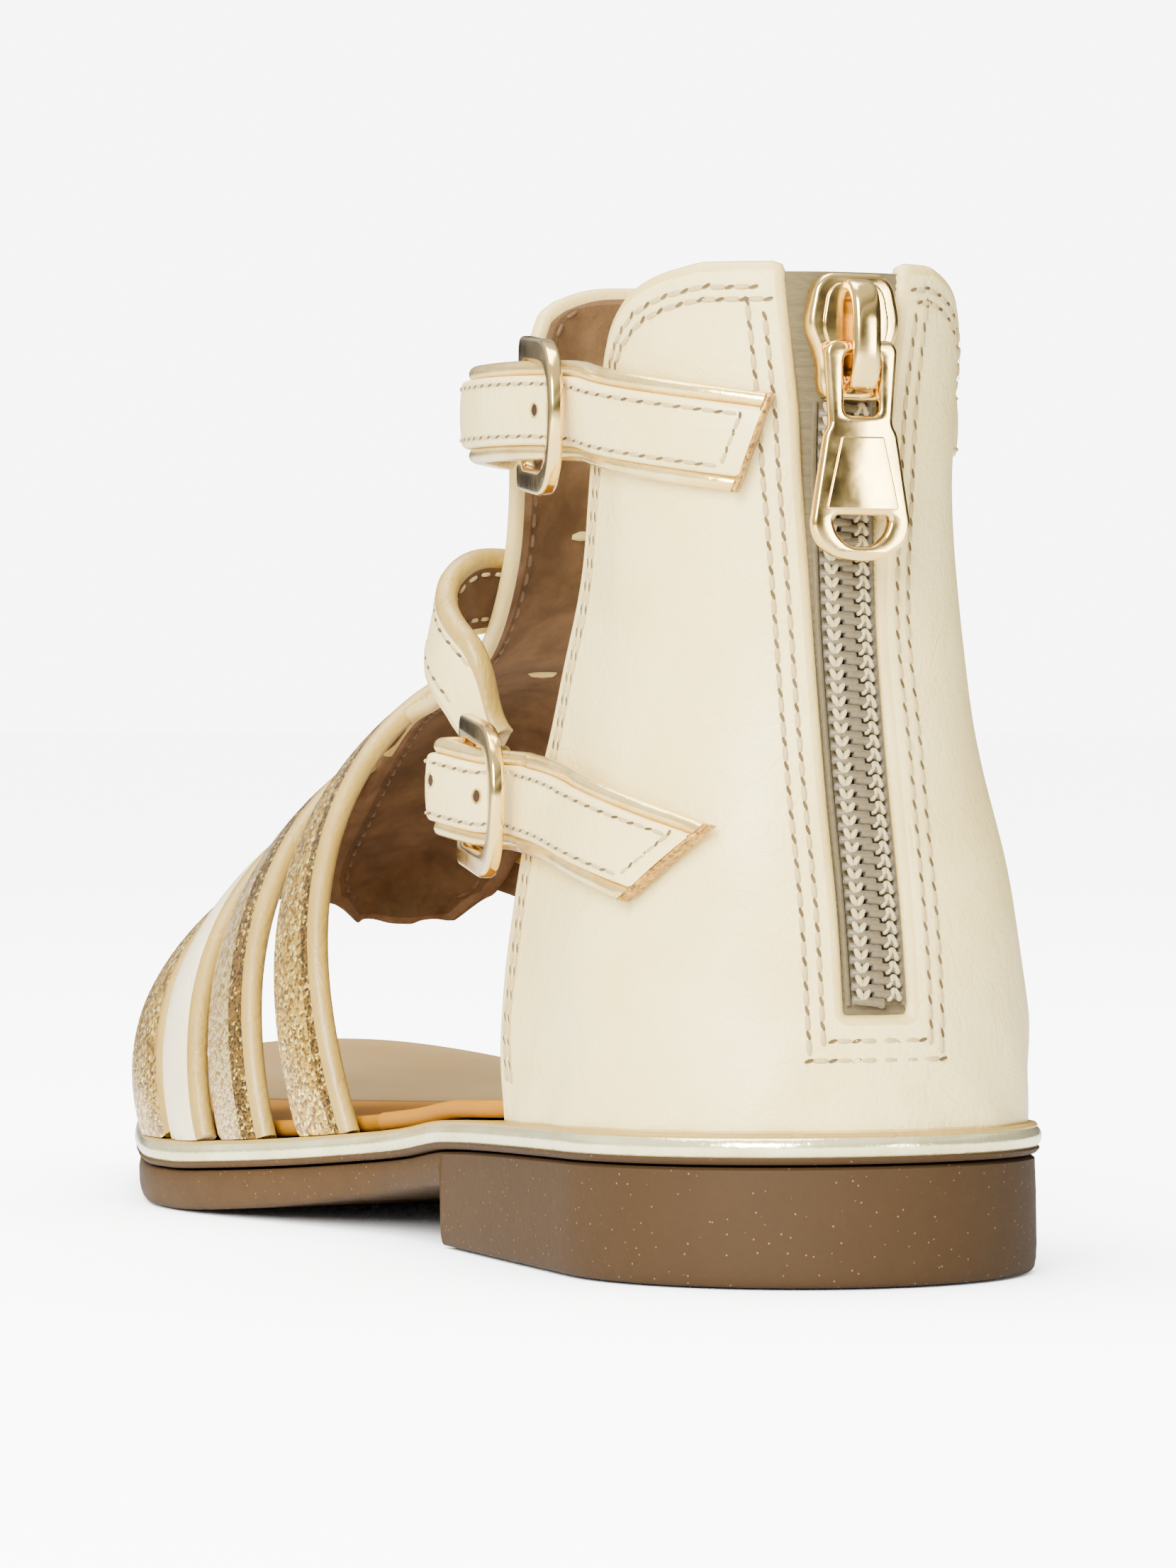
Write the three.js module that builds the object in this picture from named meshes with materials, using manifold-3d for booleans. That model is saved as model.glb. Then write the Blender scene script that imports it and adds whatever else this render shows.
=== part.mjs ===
// A child's gladiator sandal for the left foot, in millimetres.
// The toe points along +Y, the outer side of the foot is -X, and +Z is up.
// The shapes are worked out from the heel: its rearmost point on the floor is
// the zero of every table, and the finished group is then centred on the sole.

import * as THREE from "three";
import { mergeVertices } from "three/addons/utils/BufferGeometryUtils.js";
import Module from "manifold-3d";

const wasm = await Module();
wasm.setup();

// Driving sizes of the sole
const SOLE_LENGTH = 206;
const BALL_WIDTH = 71;
const HEEL_WIDTH = 49;
const HEEL_HEIGHT = 11.8;
const HEEL_LENGTH = 62;
const MIDSOLE_THICKNESS = 3;
const MIDSOLE_BEAD = 0.7;
const INSOLE_THICKNESS = 1.8;
const BOTTOM_EDGE_RISE = 1;

// Driving sizes of the upper
const SHAFT_HEIGHT = 99;
const WALL = 2.2;
const STRAP_THICKNESS = 2;
const PANEL_THICKNESS = 1.8;
const TOE_STRAP_WIDTH = 9.6;
const CROSS_STRAP_WIDTH = 10;
const FOIL_THICKNESS = 1.1;
const OVERLAY_WIDTH = 7;
const OVERLAY_THICKNESS = 1.1;
const JOIN_DEPTH = 0.4;

// Driving sizes of the zip
const ZIP_SLOT_WIDTH = 7.8;
const ZIP_MOUTH_WIDTH = 14.4;
const ZIP_BOTTOM = 25.5;
const TAPE_THICKNESS = 0.8;
const TAPE_RECESS = 0.9;
const CHAIN_WIDTH = 5.8;
const CHAIN_HEIGHT = 1.2;
const SLIDER_LENGTH = 12.4;
const SLIDER_WIDTH = 9.8;
const SLIDER_DEPTH = 2.4;
const BRIDGE_WIDTH = 2.8;
const BRIDGE_REACH = 3.6;
const PULL_LENGTH = 21.5;
const PULL_WIDTH = 10.4;
const PULL_THICKNESS = 1.4;

// Driving sizes of the buckles
const BUCKLE_HEIGHT = 15.8;
const BUCKLE_LENGTH = 19;
const BUCKLE_BAND = 1.9;
const BUCKLE_THICKNESS = 1.5;

// Clearance between pieces that touch on the real sandal
const GAP = 0.3;

// Plan of the sole, as shares: at of the length, outer and inner of the ball width
const PLAN = [
  { at: 0.0, outer: 0.345, inner: 0.345 },
  { at: 0.2, outer: 0.345, inner: 0.345 },
  { at: 0.3, outer: 0.343, inner: 0.338 },
  { at: 0.39, outer: 0.351, inner: 0.325 },
  { at: 0.48, outer: 0.424, inner: 0.344 },
  { at: 0.56, outer: 0.494, inner: 0.4 },
  { at: 0.62, outer: 0.512, inner: 0.452 },
  { at: 0.71, outer: 0.455, inner: 0.492 },
  { at: 0.8, outer: 0.378, inner: 0.502 },
  { at: 0.9, outer: 0.3, inner: 0.49 },
  { at: 1.0, outer: 0.23, inner: 0.475 },
];
const TOE_ROUNDING = 0.235;
const TOE_FULLNESS = 2.3;

// Side view of the sole: at is a share of the length, under and top are
// shares of the heel height
const PROFILE = [
  { at: 0.0, under: 0.0, top: 1.0 },
  { at: 0.15, under: 0.0, top: 0.945 },
  { at: 0.3, under: 0.53, top: 0.84 },
  { at: 0.36, under: 0.43, top: 0.71 },
  { at: 0.42, under: 0.29, top: 0.6 },
  { at: 0.48, under: 0.155, top: 0.5 },
  { at: 0.54, under: 0.05, top: 0.42 },
  { at: 0.59, under: 0.0, top: 0.37 },
  { at: 0.66, under: 0.0, top: 0.365 },
  { at: 0.73, under: 0.0, top: 0.365 },
  { at: 0.8, under: 0.055, top: 0.41 },
  { at: 0.87, under: 0.15, top: 0.5 },
  { at: 0.94, under: 0.3, top: 0.64 },
  { at: 1.0, under: 0.45, top: 0.78 },
];

// How far the insole's edge lies inside the sole's edge, along the length
const INSOLE_INSET = [
  { at: 0.0, inset: 3.6 },
  { at: 0.235, inset: 3.6 },
  { at: 0.26, inset: 1.1 },
  { at: 0.4, inset: 1.1 },
  { at: 0.425, inset: 3.9 },
  { at: 0.69, inset: 3.9 },
  { at: 0.72, inset: 1.1 },
  { at: 1.0, inset: 1.1 },
];

// Back quarter by height: up is a share of the shaft height, back how far the
// heel curve lies in, half the half width, lean the centre's shift, and
// outerFront and innerFront where its front edges lie, all shares of the heel width
const QUARTER = [
  { up: 0.12, back: 0.012, half: 0.485, lean: 0.0, outerFront: 0.91, innerFront: 0.93 },
  { up: 0.25, back: 0.03, half: 0.492, lean: 0.0, outerFront: 0.895, innerFront: 0.915 },
  { up: 0.37, back: 0.05, half: 0.472, lean: -0.008, outerFront: 0.862, innerFront: 0.875 },
  { up: 0.505, back: 0.082, half: 0.42, lean: -0.023, outerFront: 0.782, innerFront: 0.79 },
  { up: 0.656, back: 0.1, half: 0.368, lean: -0.04, outerFront: 0.68, innerFront: 0.685 },
  { up: 0.79, back: 0.098, half: 0.356, lean: -0.05, outerFront: 0.605, innerFront: 0.59 },
  { up: 0.87, back: 0.084, half: 0.362, lean: -0.053, outerFront: 0.54, innerFront: 0.47 },
  { up: 0.93, back: 0.07, half: 0.372, lean: -0.055, outerFront: 0.45, innerFront: 0.335 },
  { up: 0.97, back: 0.062, half: 0.376, lean: -0.056, outerFront: 0.35, innerFront: 0.235 },
  { up: 0.99, back: 0.06, half: 0.378, lean: -0.056, outerFront: 0.26, innerFront: 0.17 },
  { up: 1.0, back: 0.06, half: 0.378, lean: -0.056, outerFront: 0.18, innerFront: 0.125 },
];

// Toe straps from the toe back: feet and crown as shares of the sole length, and
// the bulge of each side in shares of the ball width; they lie on the panel
const TOE_STRAPS = [
  { outerFoot: 0.626, innerFoot: 0.665, crown: 0.702, outerBulge: 0.025, innerBulge: 0.03 },
  { outerFoot: 0.577, innerFoot: 0.614, crown: 0.657, outerBulge: 0.02, innerBulge: 0.035 },
  { outerFoot: 0.523, innerFoot: 0.563, crown: 0.606, outerBulge: 0.025, innerBulge: 0.04 },
  { outerFoot: 0.452, innerFoot: 0.5, crown: 0.546, outerBulge: 0.045, innerBulge: 0.045 },
];

// Centre panel down the instep: forward as a share of the sole length, up of
// the shaft height, half width and radius of its arch of the heel width
const PANEL = [
  { forward: 0.332, up: 1.015, half: 0.16, radius: 0.45 },
  { forward: 0.335, up: 0.995, half: 0.245, radius: 0.45 },
  { forward: 0.341, up: 0.94, half: 0.295, radius: 0.455 },
  { forward: 0.344, up: 0.87, half: 0.315, radius: 0.46 },
  { forward: 0.352, up: 0.79, half: 0.32, radius: 0.45 },
  { forward: 0.375, up: 0.71, half: 0.315, radius: 0.43 },
  { forward: 0.42, up: 0.655, half: 0.305, radius: 0.43 },
  { forward: 0.48, up: 0.622, half: 0.28, radius: 0.48 },
  { forward: 0.546, up: 0.588, half: 0.255, radius: 0.53 },
  { forward: 0.606, up: 0.518, half: 0.245, radius: 0.58 },
  { forward: 0.657, up: 0.453, half: 0.24, radius: 0.6 },
  { forward: 0.702, up: 0.396, half: 0.235, radius: 0.62 },
  { forward: 0.714, up: 0.36, half: 0.215, radius: 0.62 },
  { forward: 0.717, up: 0.325, half: 0.13, radius: 0.62 },
];

const lateral = -1;
const medial = 1;
const UP = new THREE.Vector3(0, 0, 1);

// Smooth value of one column of a table at a share along its key column
function tableValue(table, key, column, share) {
  const last = table.length - 1;
  if (share <= table[0][key]) return table[0][column];
  if (share >= table[last][key]) return table[last][column];
  const next = table.findIndex((row) => row[key] >= share);
  const [a, b] = [table[next - 1], table[next]];
  const before = table[Math.max(next - 2, 0)];
  const after = table[Math.min(next + 1, last)];
  const span = b[key] - a[key];
  const t = (share - a[key]) / span;
  const slope = (from, to) => (to[key] > from[key] ? (to[column] - from[column]) / (to[key] - from[key]) : 0);
  const limit = (value, s) => (value * s <= 0 ? 0 : Math.sign(s) * Math.min(Math.abs(value), 3 * Math.abs(s)));
  const chord = slope(a, b);
  const inSlope = limit(slope(before, b), chord) * span;
  const outSlope = limit(slope(a, after), chord) * span;
  const [t2, t3] = [t * t, t * t * t];
  return (2 * t3 - 3 * t2 + 1) * a[column] + (t3 - 2 * t2 + t) * inSlope
    + (3 * t2 - 2 * t3) * b[column] + (t3 - t2) * outSlope;
}

const point = (x, y, z) => new THREE.Vector3(x, y, z);
const range = (count) => Array.from({ length: count }, (_, i) => i);
const mix = (a, b, t) => a + (b - a) * t;

// Closed mesh from triangles, with shared vertices merged and facing outwards
function closedMesh(triangles) {
  const positions = [];
  for (const corner of triangles.flat()) positions.push(corner.x, corner.y, corner.z);
  let geometry = new THREE.BufferGeometry();
  geometry.setAttribute("position", new THREE.Float32BufferAttribute(positions, 3));
  geometry = mergeVertices(geometry, 1e-3);
  const index = geometry.index.array;
  const kept = [];
  for (let i = 0; i < index.length; i += 3) {
    const [a, b, c] = [index[i], index[i + 1], index[i + 2]];
    if (a !== b && b !== c && a !== c) kept.push(a, b, c);
  }
  geometry.setIndex(kept);
  if (signedVolume(geometry) < 0) {
    for (let i = 0; i < kept.length; i += 3) [kept[i], kept[i + 1]] = [kept[i + 1], kept[i]];
    geometry.setIndex(kept);
  }
  return geometry;
}

function signedVolume(geometry) {
  const place = geometry.attributes.position;
  const index = geometry.index.array;
  const [a, b, c] = [new THREE.Vector3(), new THREE.Vector3(), new THREE.Vector3()];
  let volume = 0;
  for (let i = 0; i < index.length; i += 3) {
    a.fromBufferAttribute(place, index[i]);
    b.fromBufferAttribute(place, index[i + 1]);
    c.fromBufferAttribute(place, index[i + 2]);
    volume += a.dot(b.cross(c)) / 6;
  }
  return volume;
}

// Two triangles of a quad
const quad = (a, b, c, d) => [[a, b, c], [a, c, d]];

// Two triangles of a quad, split along its shorter diagonal, so that two
// surfaces that follow each other are split alike
const evenQuad = (a, b, c, d) => (
  a.distanceTo(c) <= b.distanceTo(d) ? quad(a, b, c, d) : quad(b, c, d, a));

// Solid between an outer and an inner grid of the same size
function thickSheet(outer, inner) {
  const triangles = [];
  const rows = outer.length;
  const columns = outer[0].length;
  for (let i = 0; i < rows - 1; i++) {
    for (let j = 0; j < columns - 1; j++) {
      triangles.push(...quad(outer[i][j], outer[i + 1][j], outer[i + 1][j + 1], outer[i][j + 1]));
      triangles.push(...quad(inner[i][j], inner[i][j + 1], inner[i + 1][j + 1], inner[i + 1][j]));
    }
    const end = columns - 1;
    triangles.push(...quad(outer[i][0], inner[i][0], inner[i + 1][0], outer[i + 1][0]));
    triangles.push(...quad(outer[i][end], outer[i + 1][end], inner[i + 1][end], inner[i][end]));
  }
  for (let j = 0; j < columns - 1; j++) {
    const end = rows - 1;
    triangles.push(...quad(outer[0][j], outer[0][j + 1], inner[0][j + 1], inner[0][j]));
    triangles.push(...quad(outer[end][j], inner[end][j], inner[end][j + 1], outer[end][j + 1]));
  }
  return closedMesh(triangles);
}

// Solid through rings with the same number of points; its end rings are
// closed by the flat shape that the first ring was made from, or lie on a line
function loft(rings, capFaces = []) {
  const triangles = [];
  const count = rings[0].length;
  for (let i = 0; i < rings.length - 1; i++) {
    for (let j = 0; j < count; j++) {
      const k = (j + 1) % count;
      triangles.push(...evenQuad(rings[i][j], rings[i][k], rings[i + 1][k], rings[i + 1][j]));
    }
  }
  const last = rings[rings.length - 1];
  for (const [a, b, c] of capFaces) {
    triangles.push([rings[0][a], rings[0][c], rings[0][b]]);
    triangles.push([last[a], last[b], last[c]]);
  }
  return closedMesh(triangles);
}

// Booleans on closed meshes
function toManifold(geometry) {
  return new wasm.Manifold(new wasm.Mesh({
    numProp: 3,
    vertProperties: new Float32Array(geometry.attributes.position.array),
    triVerts: new Uint32Array(geometry.index.array),
  }));
}

function fromManifold(solid) {
  const mesh = solid.getMesh();
  const geometry = new THREE.BufferGeometry();
  geometry.setAttribute("position", new THREE.BufferAttribute(new Float32Array(mesh.vertProperties), 3));
  geometry.setIndex(new THREE.BufferAttribute(new Uint32Array(mesh.triVerts), 1));
  return geometry;
}

const joined = (parts) => fromManifold(parts.map(toManifold).reduce((all, next) => all.add(next)));
const cut = (base, tool) => fromManifold(toManifold(base).subtract(toManifold(tool)));
const shared = (base, tool) => fromManifold(toManifold(base).intersect(toManifold(tool)));

// Flat shape whose outline turns one way and whose holes turn the other
function flatShape(outline, holes) {
  const turned = (points, clockwise) => {
    const list = points.map(([a, b]) => new THREE.Vector2(a, b));
    return THREE.ShapeUtils.isClockWise(list) === clockwise ? list : list.reverse();
  };
  const shape = new THREE.Shape(turned(outline, false));
  for (const hole of holes) shape.holes.push(new THREE.Path(turned(hole, true)));
  return shape;
}

// Flat outline in x and z, pushed through from one y to another
function plateXZ(outline, yFrom, yTo, holes = []) {
  const shape = flatShape(outline, holes);
  const geometry = new THREE.ExtrudeGeometry(shape, { depth: yTo - yFrom, bevelEnabled: false });
  geometry.rotateX(Math.PI / 2);
  geometry.translate(0, yTo, 0);
  return bare(geometry);
}

function bare(geometry) {
  geometry.deleteAttribute("normal");
  geometry.deleteAttribute("uv");
  return mergeVertices(geometry, 1e-3);
}

// The sole's plan and side view
const heelRound = (y) => {
  const reach = HEEL_WIDTH / 2;
  return y >= reach ? 1 : Math.sqrt(Math.max(0, 1 - (1 - y / reach) ** 2));
};
const toeRound = (y) => {
  const reach = TOE_ROUNDING * SOLE_LENGTH;
  const into = (y - (SOLE_LENGTH - reach)) / reach;
  return into <= 0 ? 1 : Math.max(0, 1 - into ** TOE_FULLNESS) ** (1 / TOE_FULLNESS);
};

function soleEdge(side, y) {
  const share = y / SOLE_LENGTH;
  const outer = tableValue(PLAN, "at", "outer", share) * BALL_WIDTH;
  const inner = tableValue(PLAN, "at", "inner", share) * BALL_WIDTH;
  const centre = (inner - outer) / 2;
  const half = (inner + outer) / 2;
  return centre + side * half * heelRound(y) * toeRound(y);
}

function soleCentre(y) {
  return (soleEdge(lateral, y) + soleEdge(medial, y)) / 2;
}

function underside(y) {
  if (y <= HEEL_LENGTH) return 0;
  return tableValue(PROFILE, "at", "under", Math.max(y / SOLE_LENGTH, HEEL_LENGTH / SOLE_LENGTH)) * HEEL_HEIGHT;
}

const outsoleTop = (y) => tableValue(PROFILE, "at", "top", y / SOLE_LENGTH) * HEEL_HEIGHT;
const midsoleTop = (y) => outsoleTop(y) + GAP + MIDSOLE_THICKNESS;
const edgeRise = (y) => BOTTOM_EDGE_RISE * THREE.MathUtils.smoothstep(y, HEEL_LENGTH, SOLE_LENGTH / 2);

// Stations along the sole, closer at both ends and on both sides of the heel breast
const END_STATIONS = 7;
const WAIST_STATIONS = 13;
const BREAST_SLOPE = 0.8;
const SOLE_STATIONS = (() => {
  const heelEnd = HEEL_WIDTH / 2;
  const toeStart = SOLE_LENGTH * (1 - TOE_ROUNDING);
  const list = [];
  for (const i of range(END_STATIONS)) list.push(heelEnd * (1 - Math.cos((i / END_STATIONS) * (Math.PI / 2))));
  for (const i of range(WAIST_STATIONS)) list.push(mix(heelEnd, toeStart, i / WAIST_STATIONS));
  for (const i of range(END_STATIONS + 1)) {
    list.push(toeStart + (SOLE_LENGTH - toeStart) * Math.sin((i / END_STATIONS) * (Math.PI / 2)));
  }
  const clear = list.filter((y) => Math.abs(y - HEEL_LENGTH) > 3 * BREAST_SLOPE);
  return [...clear, HEEL_LENGTH, HEEL_LENGTH + BREAST_SLOPE].sort((a, b) => a - b);
})();

// Points around the sole's plan, with the spine point that each is drawn in to
const SOLE_LOOP = (() => {
  const spineFrom = HEEL_WIDTH / 2;
  const spineTo = SOLE_LENGTH * (1 - TOE_ROUNDING);
  const item = (side, y) => {
    const spineY = THREE.MathUtils.clamp(y, spineFrom, spineTo);
    return { side, y, x: soleEdge(side, y), spineX: soleCentre(spineY), spineY };
  };
  const inner = SOLE_STATIONS.slice(1, -1).reverse();
  const loop = [...SOLE_STATIONS.map((y) => item(lateral, y)), ...inner.map((y) => item(medial, y))];
  loop.forEach((here, i) => {
    const next = loop[(i + 1) % loop.length];
    const before = loop[(i + loop.length - 1) % loop.length];
    const out = point(-(next.y - before.y), next.x - before.x, 0).normalize();
    here.outX = out.x;
    here.outY = out.y;
  });
  return loop;
})();

// One ring round the sole: kept is the share of the way from spine to edge,
// offset moves it out along the edge's normal, and height gives z from y
function soleRing({ kept = 1, offset = 0, height }) {
  return SOLE_LOOP.map((item) => {
    const move = typeof offset === "function" ? offset(item.y) : offset;
    const x = mix(item.spineX, item.x + item.outX * move, kept);
    const y = mix(item.spineY, item.y + item.outY * move, kept);
    return point(x, y, height(y, item));
  });
}

const HEEL_FLARE = 0.2;
const BOTTOM_BEVEL = 0.5;
const FLAT_SHARE = 0.8;

function outsole() {
  return loft([
    soleRing({ kept: 0, height: underside }),
    soleRing({ kept: FLAT_SHARE, height: underside }),
    soleRing({ offset: -BOTTOM_BEVEL, height: (y, item) => underside(item.y) + edgeRise(item.y) * 0.8 }),
    soleRing({ offset: HEEL_FLARE, height: (y, item) => underside(item.y) + edgeRise(item.y) + BOTTOM_BEVEL }),
    soleRing({ offset: 0, height: (y, item) => outsoleTop(item.y) }),
    soleRing({ kept: 0.5, height: (y) => outsoleTop(y) }),
    soleRing({ kept: 0, height: (y) => outsoleTop(y) }),
  ]);
}

// Section of the midsole's rounded edge: out of the bead, up of the thickness
const BEAD_SECTION = [
  { out: 0.0, up: 0.0 },
  { out: 0.75, up: 0.15 },
  { out: 1.0, up: 0.45 },
  { out: 0.75, up: 0.8 },
  { out: -0.3, up: 1.0 },
];

function midsole() {
  const bottom = (y) => outsoleTop(y) + GAP;
  const edge = BEAD_SECTION.map(({ out, up }) => soleRing({
    offset: out * MIDSOLE_BEAD,
    height: (y, item) => bottom(item.y) + up * MIDSOLE_THICKNESS,
  }));
  return loft([
    soleRing({ kept: 0, height: bottom }),
    soleRing({ kept: 0.5, height: bottom }),
    ...edge,
    soleRing({ kept: 0.5, height: midsoleTop }),
    soleRing({ kept: 0, height: midsoleTop }),
  ]);
}

function insole() {
  const inset = (y) => -tableValue(INSOLE_INSET, "at", "inset", y / SOLE_LENGTH);
  const bottom = (y) => midsoleTop(y) + GAP;
  const top = (y) => bottom(y) + INSOLE_THICKNESS;
  const softEdge = 0.5;
  return loft([
    soleRing({ kept: 0, height: bottom }),
    soleRing({ kept: 0.5, height: bottom }),
    soleRing({ offset: inset, height: bottom }),
    soleRing({ offset: inset, height: (y) => top(y) - softEdge }),
    soleRing({ offset: (y) => inset(y) - softEdge, height: top }),
    soleRing({ kept: 0.5, height: top }),
    soleRing({ kept: 0, height: top }),
  ]);
}

// The back quarter's surface: along is the way round from the centre of the
// heel to the front edge, from 0 to 1, and z the height
function quarterRow(z) {
  const value = (column) => tableValue(QUARTER, "up", column, z / SHAFT_HEIGHT) * HEEL_WIDTH;
  return {
    back: value("back"),
    half: value("half"),
    lean: value("lean"),
    outerFront: value("outerFront"),
    innerFront: value("innerFront"),
  };
}

function quarterReach(row, side) {
  const front = (side === lateral ? row.outerFront : row.innerFront) - row.back;
  if (front < row.half) return row.half * Math.acos(1 - front / row.half);
  return row.half * (Math.PI / 2) + front - row.half;
}

// Point at a distance round the heel from its centre line
function quarterPlan(side, round, z) {
  const row = quarterRow(z);
  const turn = Math.min(round / row.half, Math.PI / 2);
  const straight = Math.max(0, round - row.half * (Math.PI / 2));
  const x = row.lean + side * row.half * Math.sin(turn);
  const y = row.back + row.half * (1 - Math.cos(turn)) + straight;
  return point(x, y, z);
}

function quarterNormal(side, round, z) {
  const step = 0.4;
  const from = Math.max(round, step);
  const across = quarterPlan(side, from + step, z).sub(quarterPlan(side, from - step, z));
  const rise = quarterPlan(side, from, z + step).sub(quarterPlan(side, from, z - step));
  const normal = across.cross(rise).normalize();
  if (normal.x * side < 0) normal.negate();
  if (round < step) normal.x = 0;
  return normal.normalize();
}

function onQuarter(side, round, z, offset) {
  return quarterPlan(side, round, z).addScaledVector(quarterNormal(side, round, z), offset);
}

const QUARTER_COLUMNS = 12;
const QUARTER_LEVELS = [0, 0.05, 0.13, 0.22, 0.32, 0.43, 0.54, 0.65, 0.75, 0.83, 0.89, 0.94, 0.97, 0.988, 1];

// Grid of the quarter's wall at an offset, from its outer front edge round the
// heel to its inner front edge
function quarterGrid(offset) {
  const columns = [
    ...range(QUARTER_COLUMNS).map((i) => ({ side: lateral, along: 1 - i / QUARTER_COLUMNS })),
    ...range(QUARTER_COLUMNS + 1).map((i) => ({ side: medial, along: i / QUARTER_COLUMNS })),
  ];
  return columns.map(({ side, along }) => QUARTER_LEVELS.map((level) => {
    const low = quarterRow(SHAFT_HEIGHT * QUARTER[0].up);
    const foot = quarterPlan(side, along * quarterReach(low, side), SHAFT_HEIGHT * QUARTER[0].up);
    const bottom = midsoleTop(foot.y) + GAP;
    const z = mix(bottom, SHAFT_HEIGHT, level);
    return onQuarter(side, along * quarterReach(quarterRow(z), side), z, offset);
  }));
}

// Outline of the slot that the zip fills, shrunk by a clearance
function slotOutline(clearance) {
  const half = ZIP_SLOT_WIDTH / 2 - clearance;
  const mouth = ZIP_MOUTH_WIDTH / 2 - clearance;
  const low = ZIP_BOTTOM + clearance;
  const corner = 1.4;
  const flareFrom = SHAFT_HEIGHT - SLIDER_LENGTH - 4;
  const above = SHAFT_HEIGHT + 6;
  const lean = (z) => quarterRow(Math.min(z, SHAFT_HEIGHT)).lean;
  const rises = range(7).map((i) => mix(low + corner, flareFrom, i / 6));
  const sideLine = (side) => [
    [lean(low) + side * (half - corner), low],
    ...rises.map((z) => [lean(z) + side * half, z]),
    [lean(above) + side * mix(half, mouth, 0.4), mix(flareFrom, SHAFT_HEIGHT, 0.5)],
    [lean(above) + side * mouth, SHAFT_HEIGHT - 1],
    [lean(above) + side * mouth, above],
  ];
  return [...sideLine(medial), ...sideLine(lateral).reverse()];
}

const SLOT_FROM = -HEEL_WIDTH / 4;
const SLOT_TO = HEEL_WIDTH / 4;

function backQuarter() {
  const wall = thickSheet(quarterGrid(0), quarterGrid(-WALL));
  return cut(wall, plateXZ(slotOutline(0), SLOT_FROM, SLOT_TO));
}

// Middle strip of the quarter's surface between two offsets
function backStrip(outerOffset, innerOffset, halfWidth, zFrom, zTo, rows) {
  const columns = [-1, -0.5, 0, 0.5, 1];
  const grid = (offset) => range(rows + 1).map((i) => columns.map((share) => {
    const side = share < 0 ? lateral : medial;
    return onQuarter(side, Math.abs(share) * halfWidth, mix(zFrom, zTo, i / rows), offset);
  }));
  return thickSheet(grid(outerOffset), grid(innerOffset));
}

function zipTape() {
  const strip = backStrip(-TAPE_RECESS, -TAPE_RECESS - TAPE_THICKNESS, ZIP_MOUTH_WIDTH / 2 + 1,
    ZIP_BOTTOM - 1, SHAFT_HEIGHT, 12);
  return shared(strip, plateXZ(slotOutline(GAP), SLOT_FROM, SLOT_TO));
}

// Closed zip chain: two rows of coils, each a low rounded ridge on the tape
function zipChain() {
  const from = ZIP_BOTTOM + 2;
  const to = SHAFT_HEIGHT - SLIDER_LENGTH - GAP;
  const base = -TAPE_RECESS + GAP;
  const ridge = [
    { across: -0.5, up: 0.35 },
    { across: -0.3, up: 1 },
    { across: -0.08, up: 0.8 },
    { across: 0.0, up: 0.55 },
    { across: 0.08, up: 0.8 },
    { across: 0.3, up: 1 },
    { across: 0.5, up: 0.35 },
  ];
  const rows = 14;
  const grid = (height) => range(rows + 1).map((i) => ridge.map(({ across, up }) => {
    const side = across < 0 ? lateral : medial;
    const z = mix(from, to, i / rows);
    return onQuarter(side, Math.abs(across) * CHAIN_WIDTH, z, base + height * up * CHAIN_HEIGHT);
  }));
  return thickSheet(grid(1), grid(0));
}

// Place of the slider: its body stands on the tape at the top of the slot
const SLIDER_TOP = SHAFT_HEIGHT - 0.2;
const SLIDER_MIDDLE = SLIDER_TOP - SLIDER_LENGTH / 2;
const SLIDER_CENTRE = quarterRow(SLIDER_MIDDLE).lean;
const SLIDER_BACK = quarterRow(SLIDER_MIDDLE).back + TAPE_RECESS - GAP - 0.3;
const SLIDER_FACE = SLIDER_BACK - SLIDER_DEPTH;
const PULL_BAR = 1.3;
const HINGE_SPACE = 2.3;
const HINGE_Y = SLIDER_FACE - HINGE_SPACE / 2;
const HINGE_Z = SLIDER_TOP - 7.3;

// Shield outline of the slider: across is a share of its width, down of its length
const SLIDER_OUTLINE = [
  { across: 0.3, down: 0.0 },
  { across: 0.42, down: 0.1 },
  { across: 0.5, down: 0.42 },
  { across: 0.37, down: 0.66 },
  { across: 0.35, down: 1.0 },
];

function slider() {
  const side = (sign) => SLIDER_OUTLINE.map(({ across, down }) => [
    SLIDER_CENTRE + sign * across * SLIDER_WIDTH,
    SLIDER_TOP - down * SLIDER_LENGTH,
  ]);
  const body = plateXZ([...side(lateral), ...side(medial).reverse()], SLIDER_FACE, SLIDER_BACK);
  return joined([body, bridge()]);
}

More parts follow.
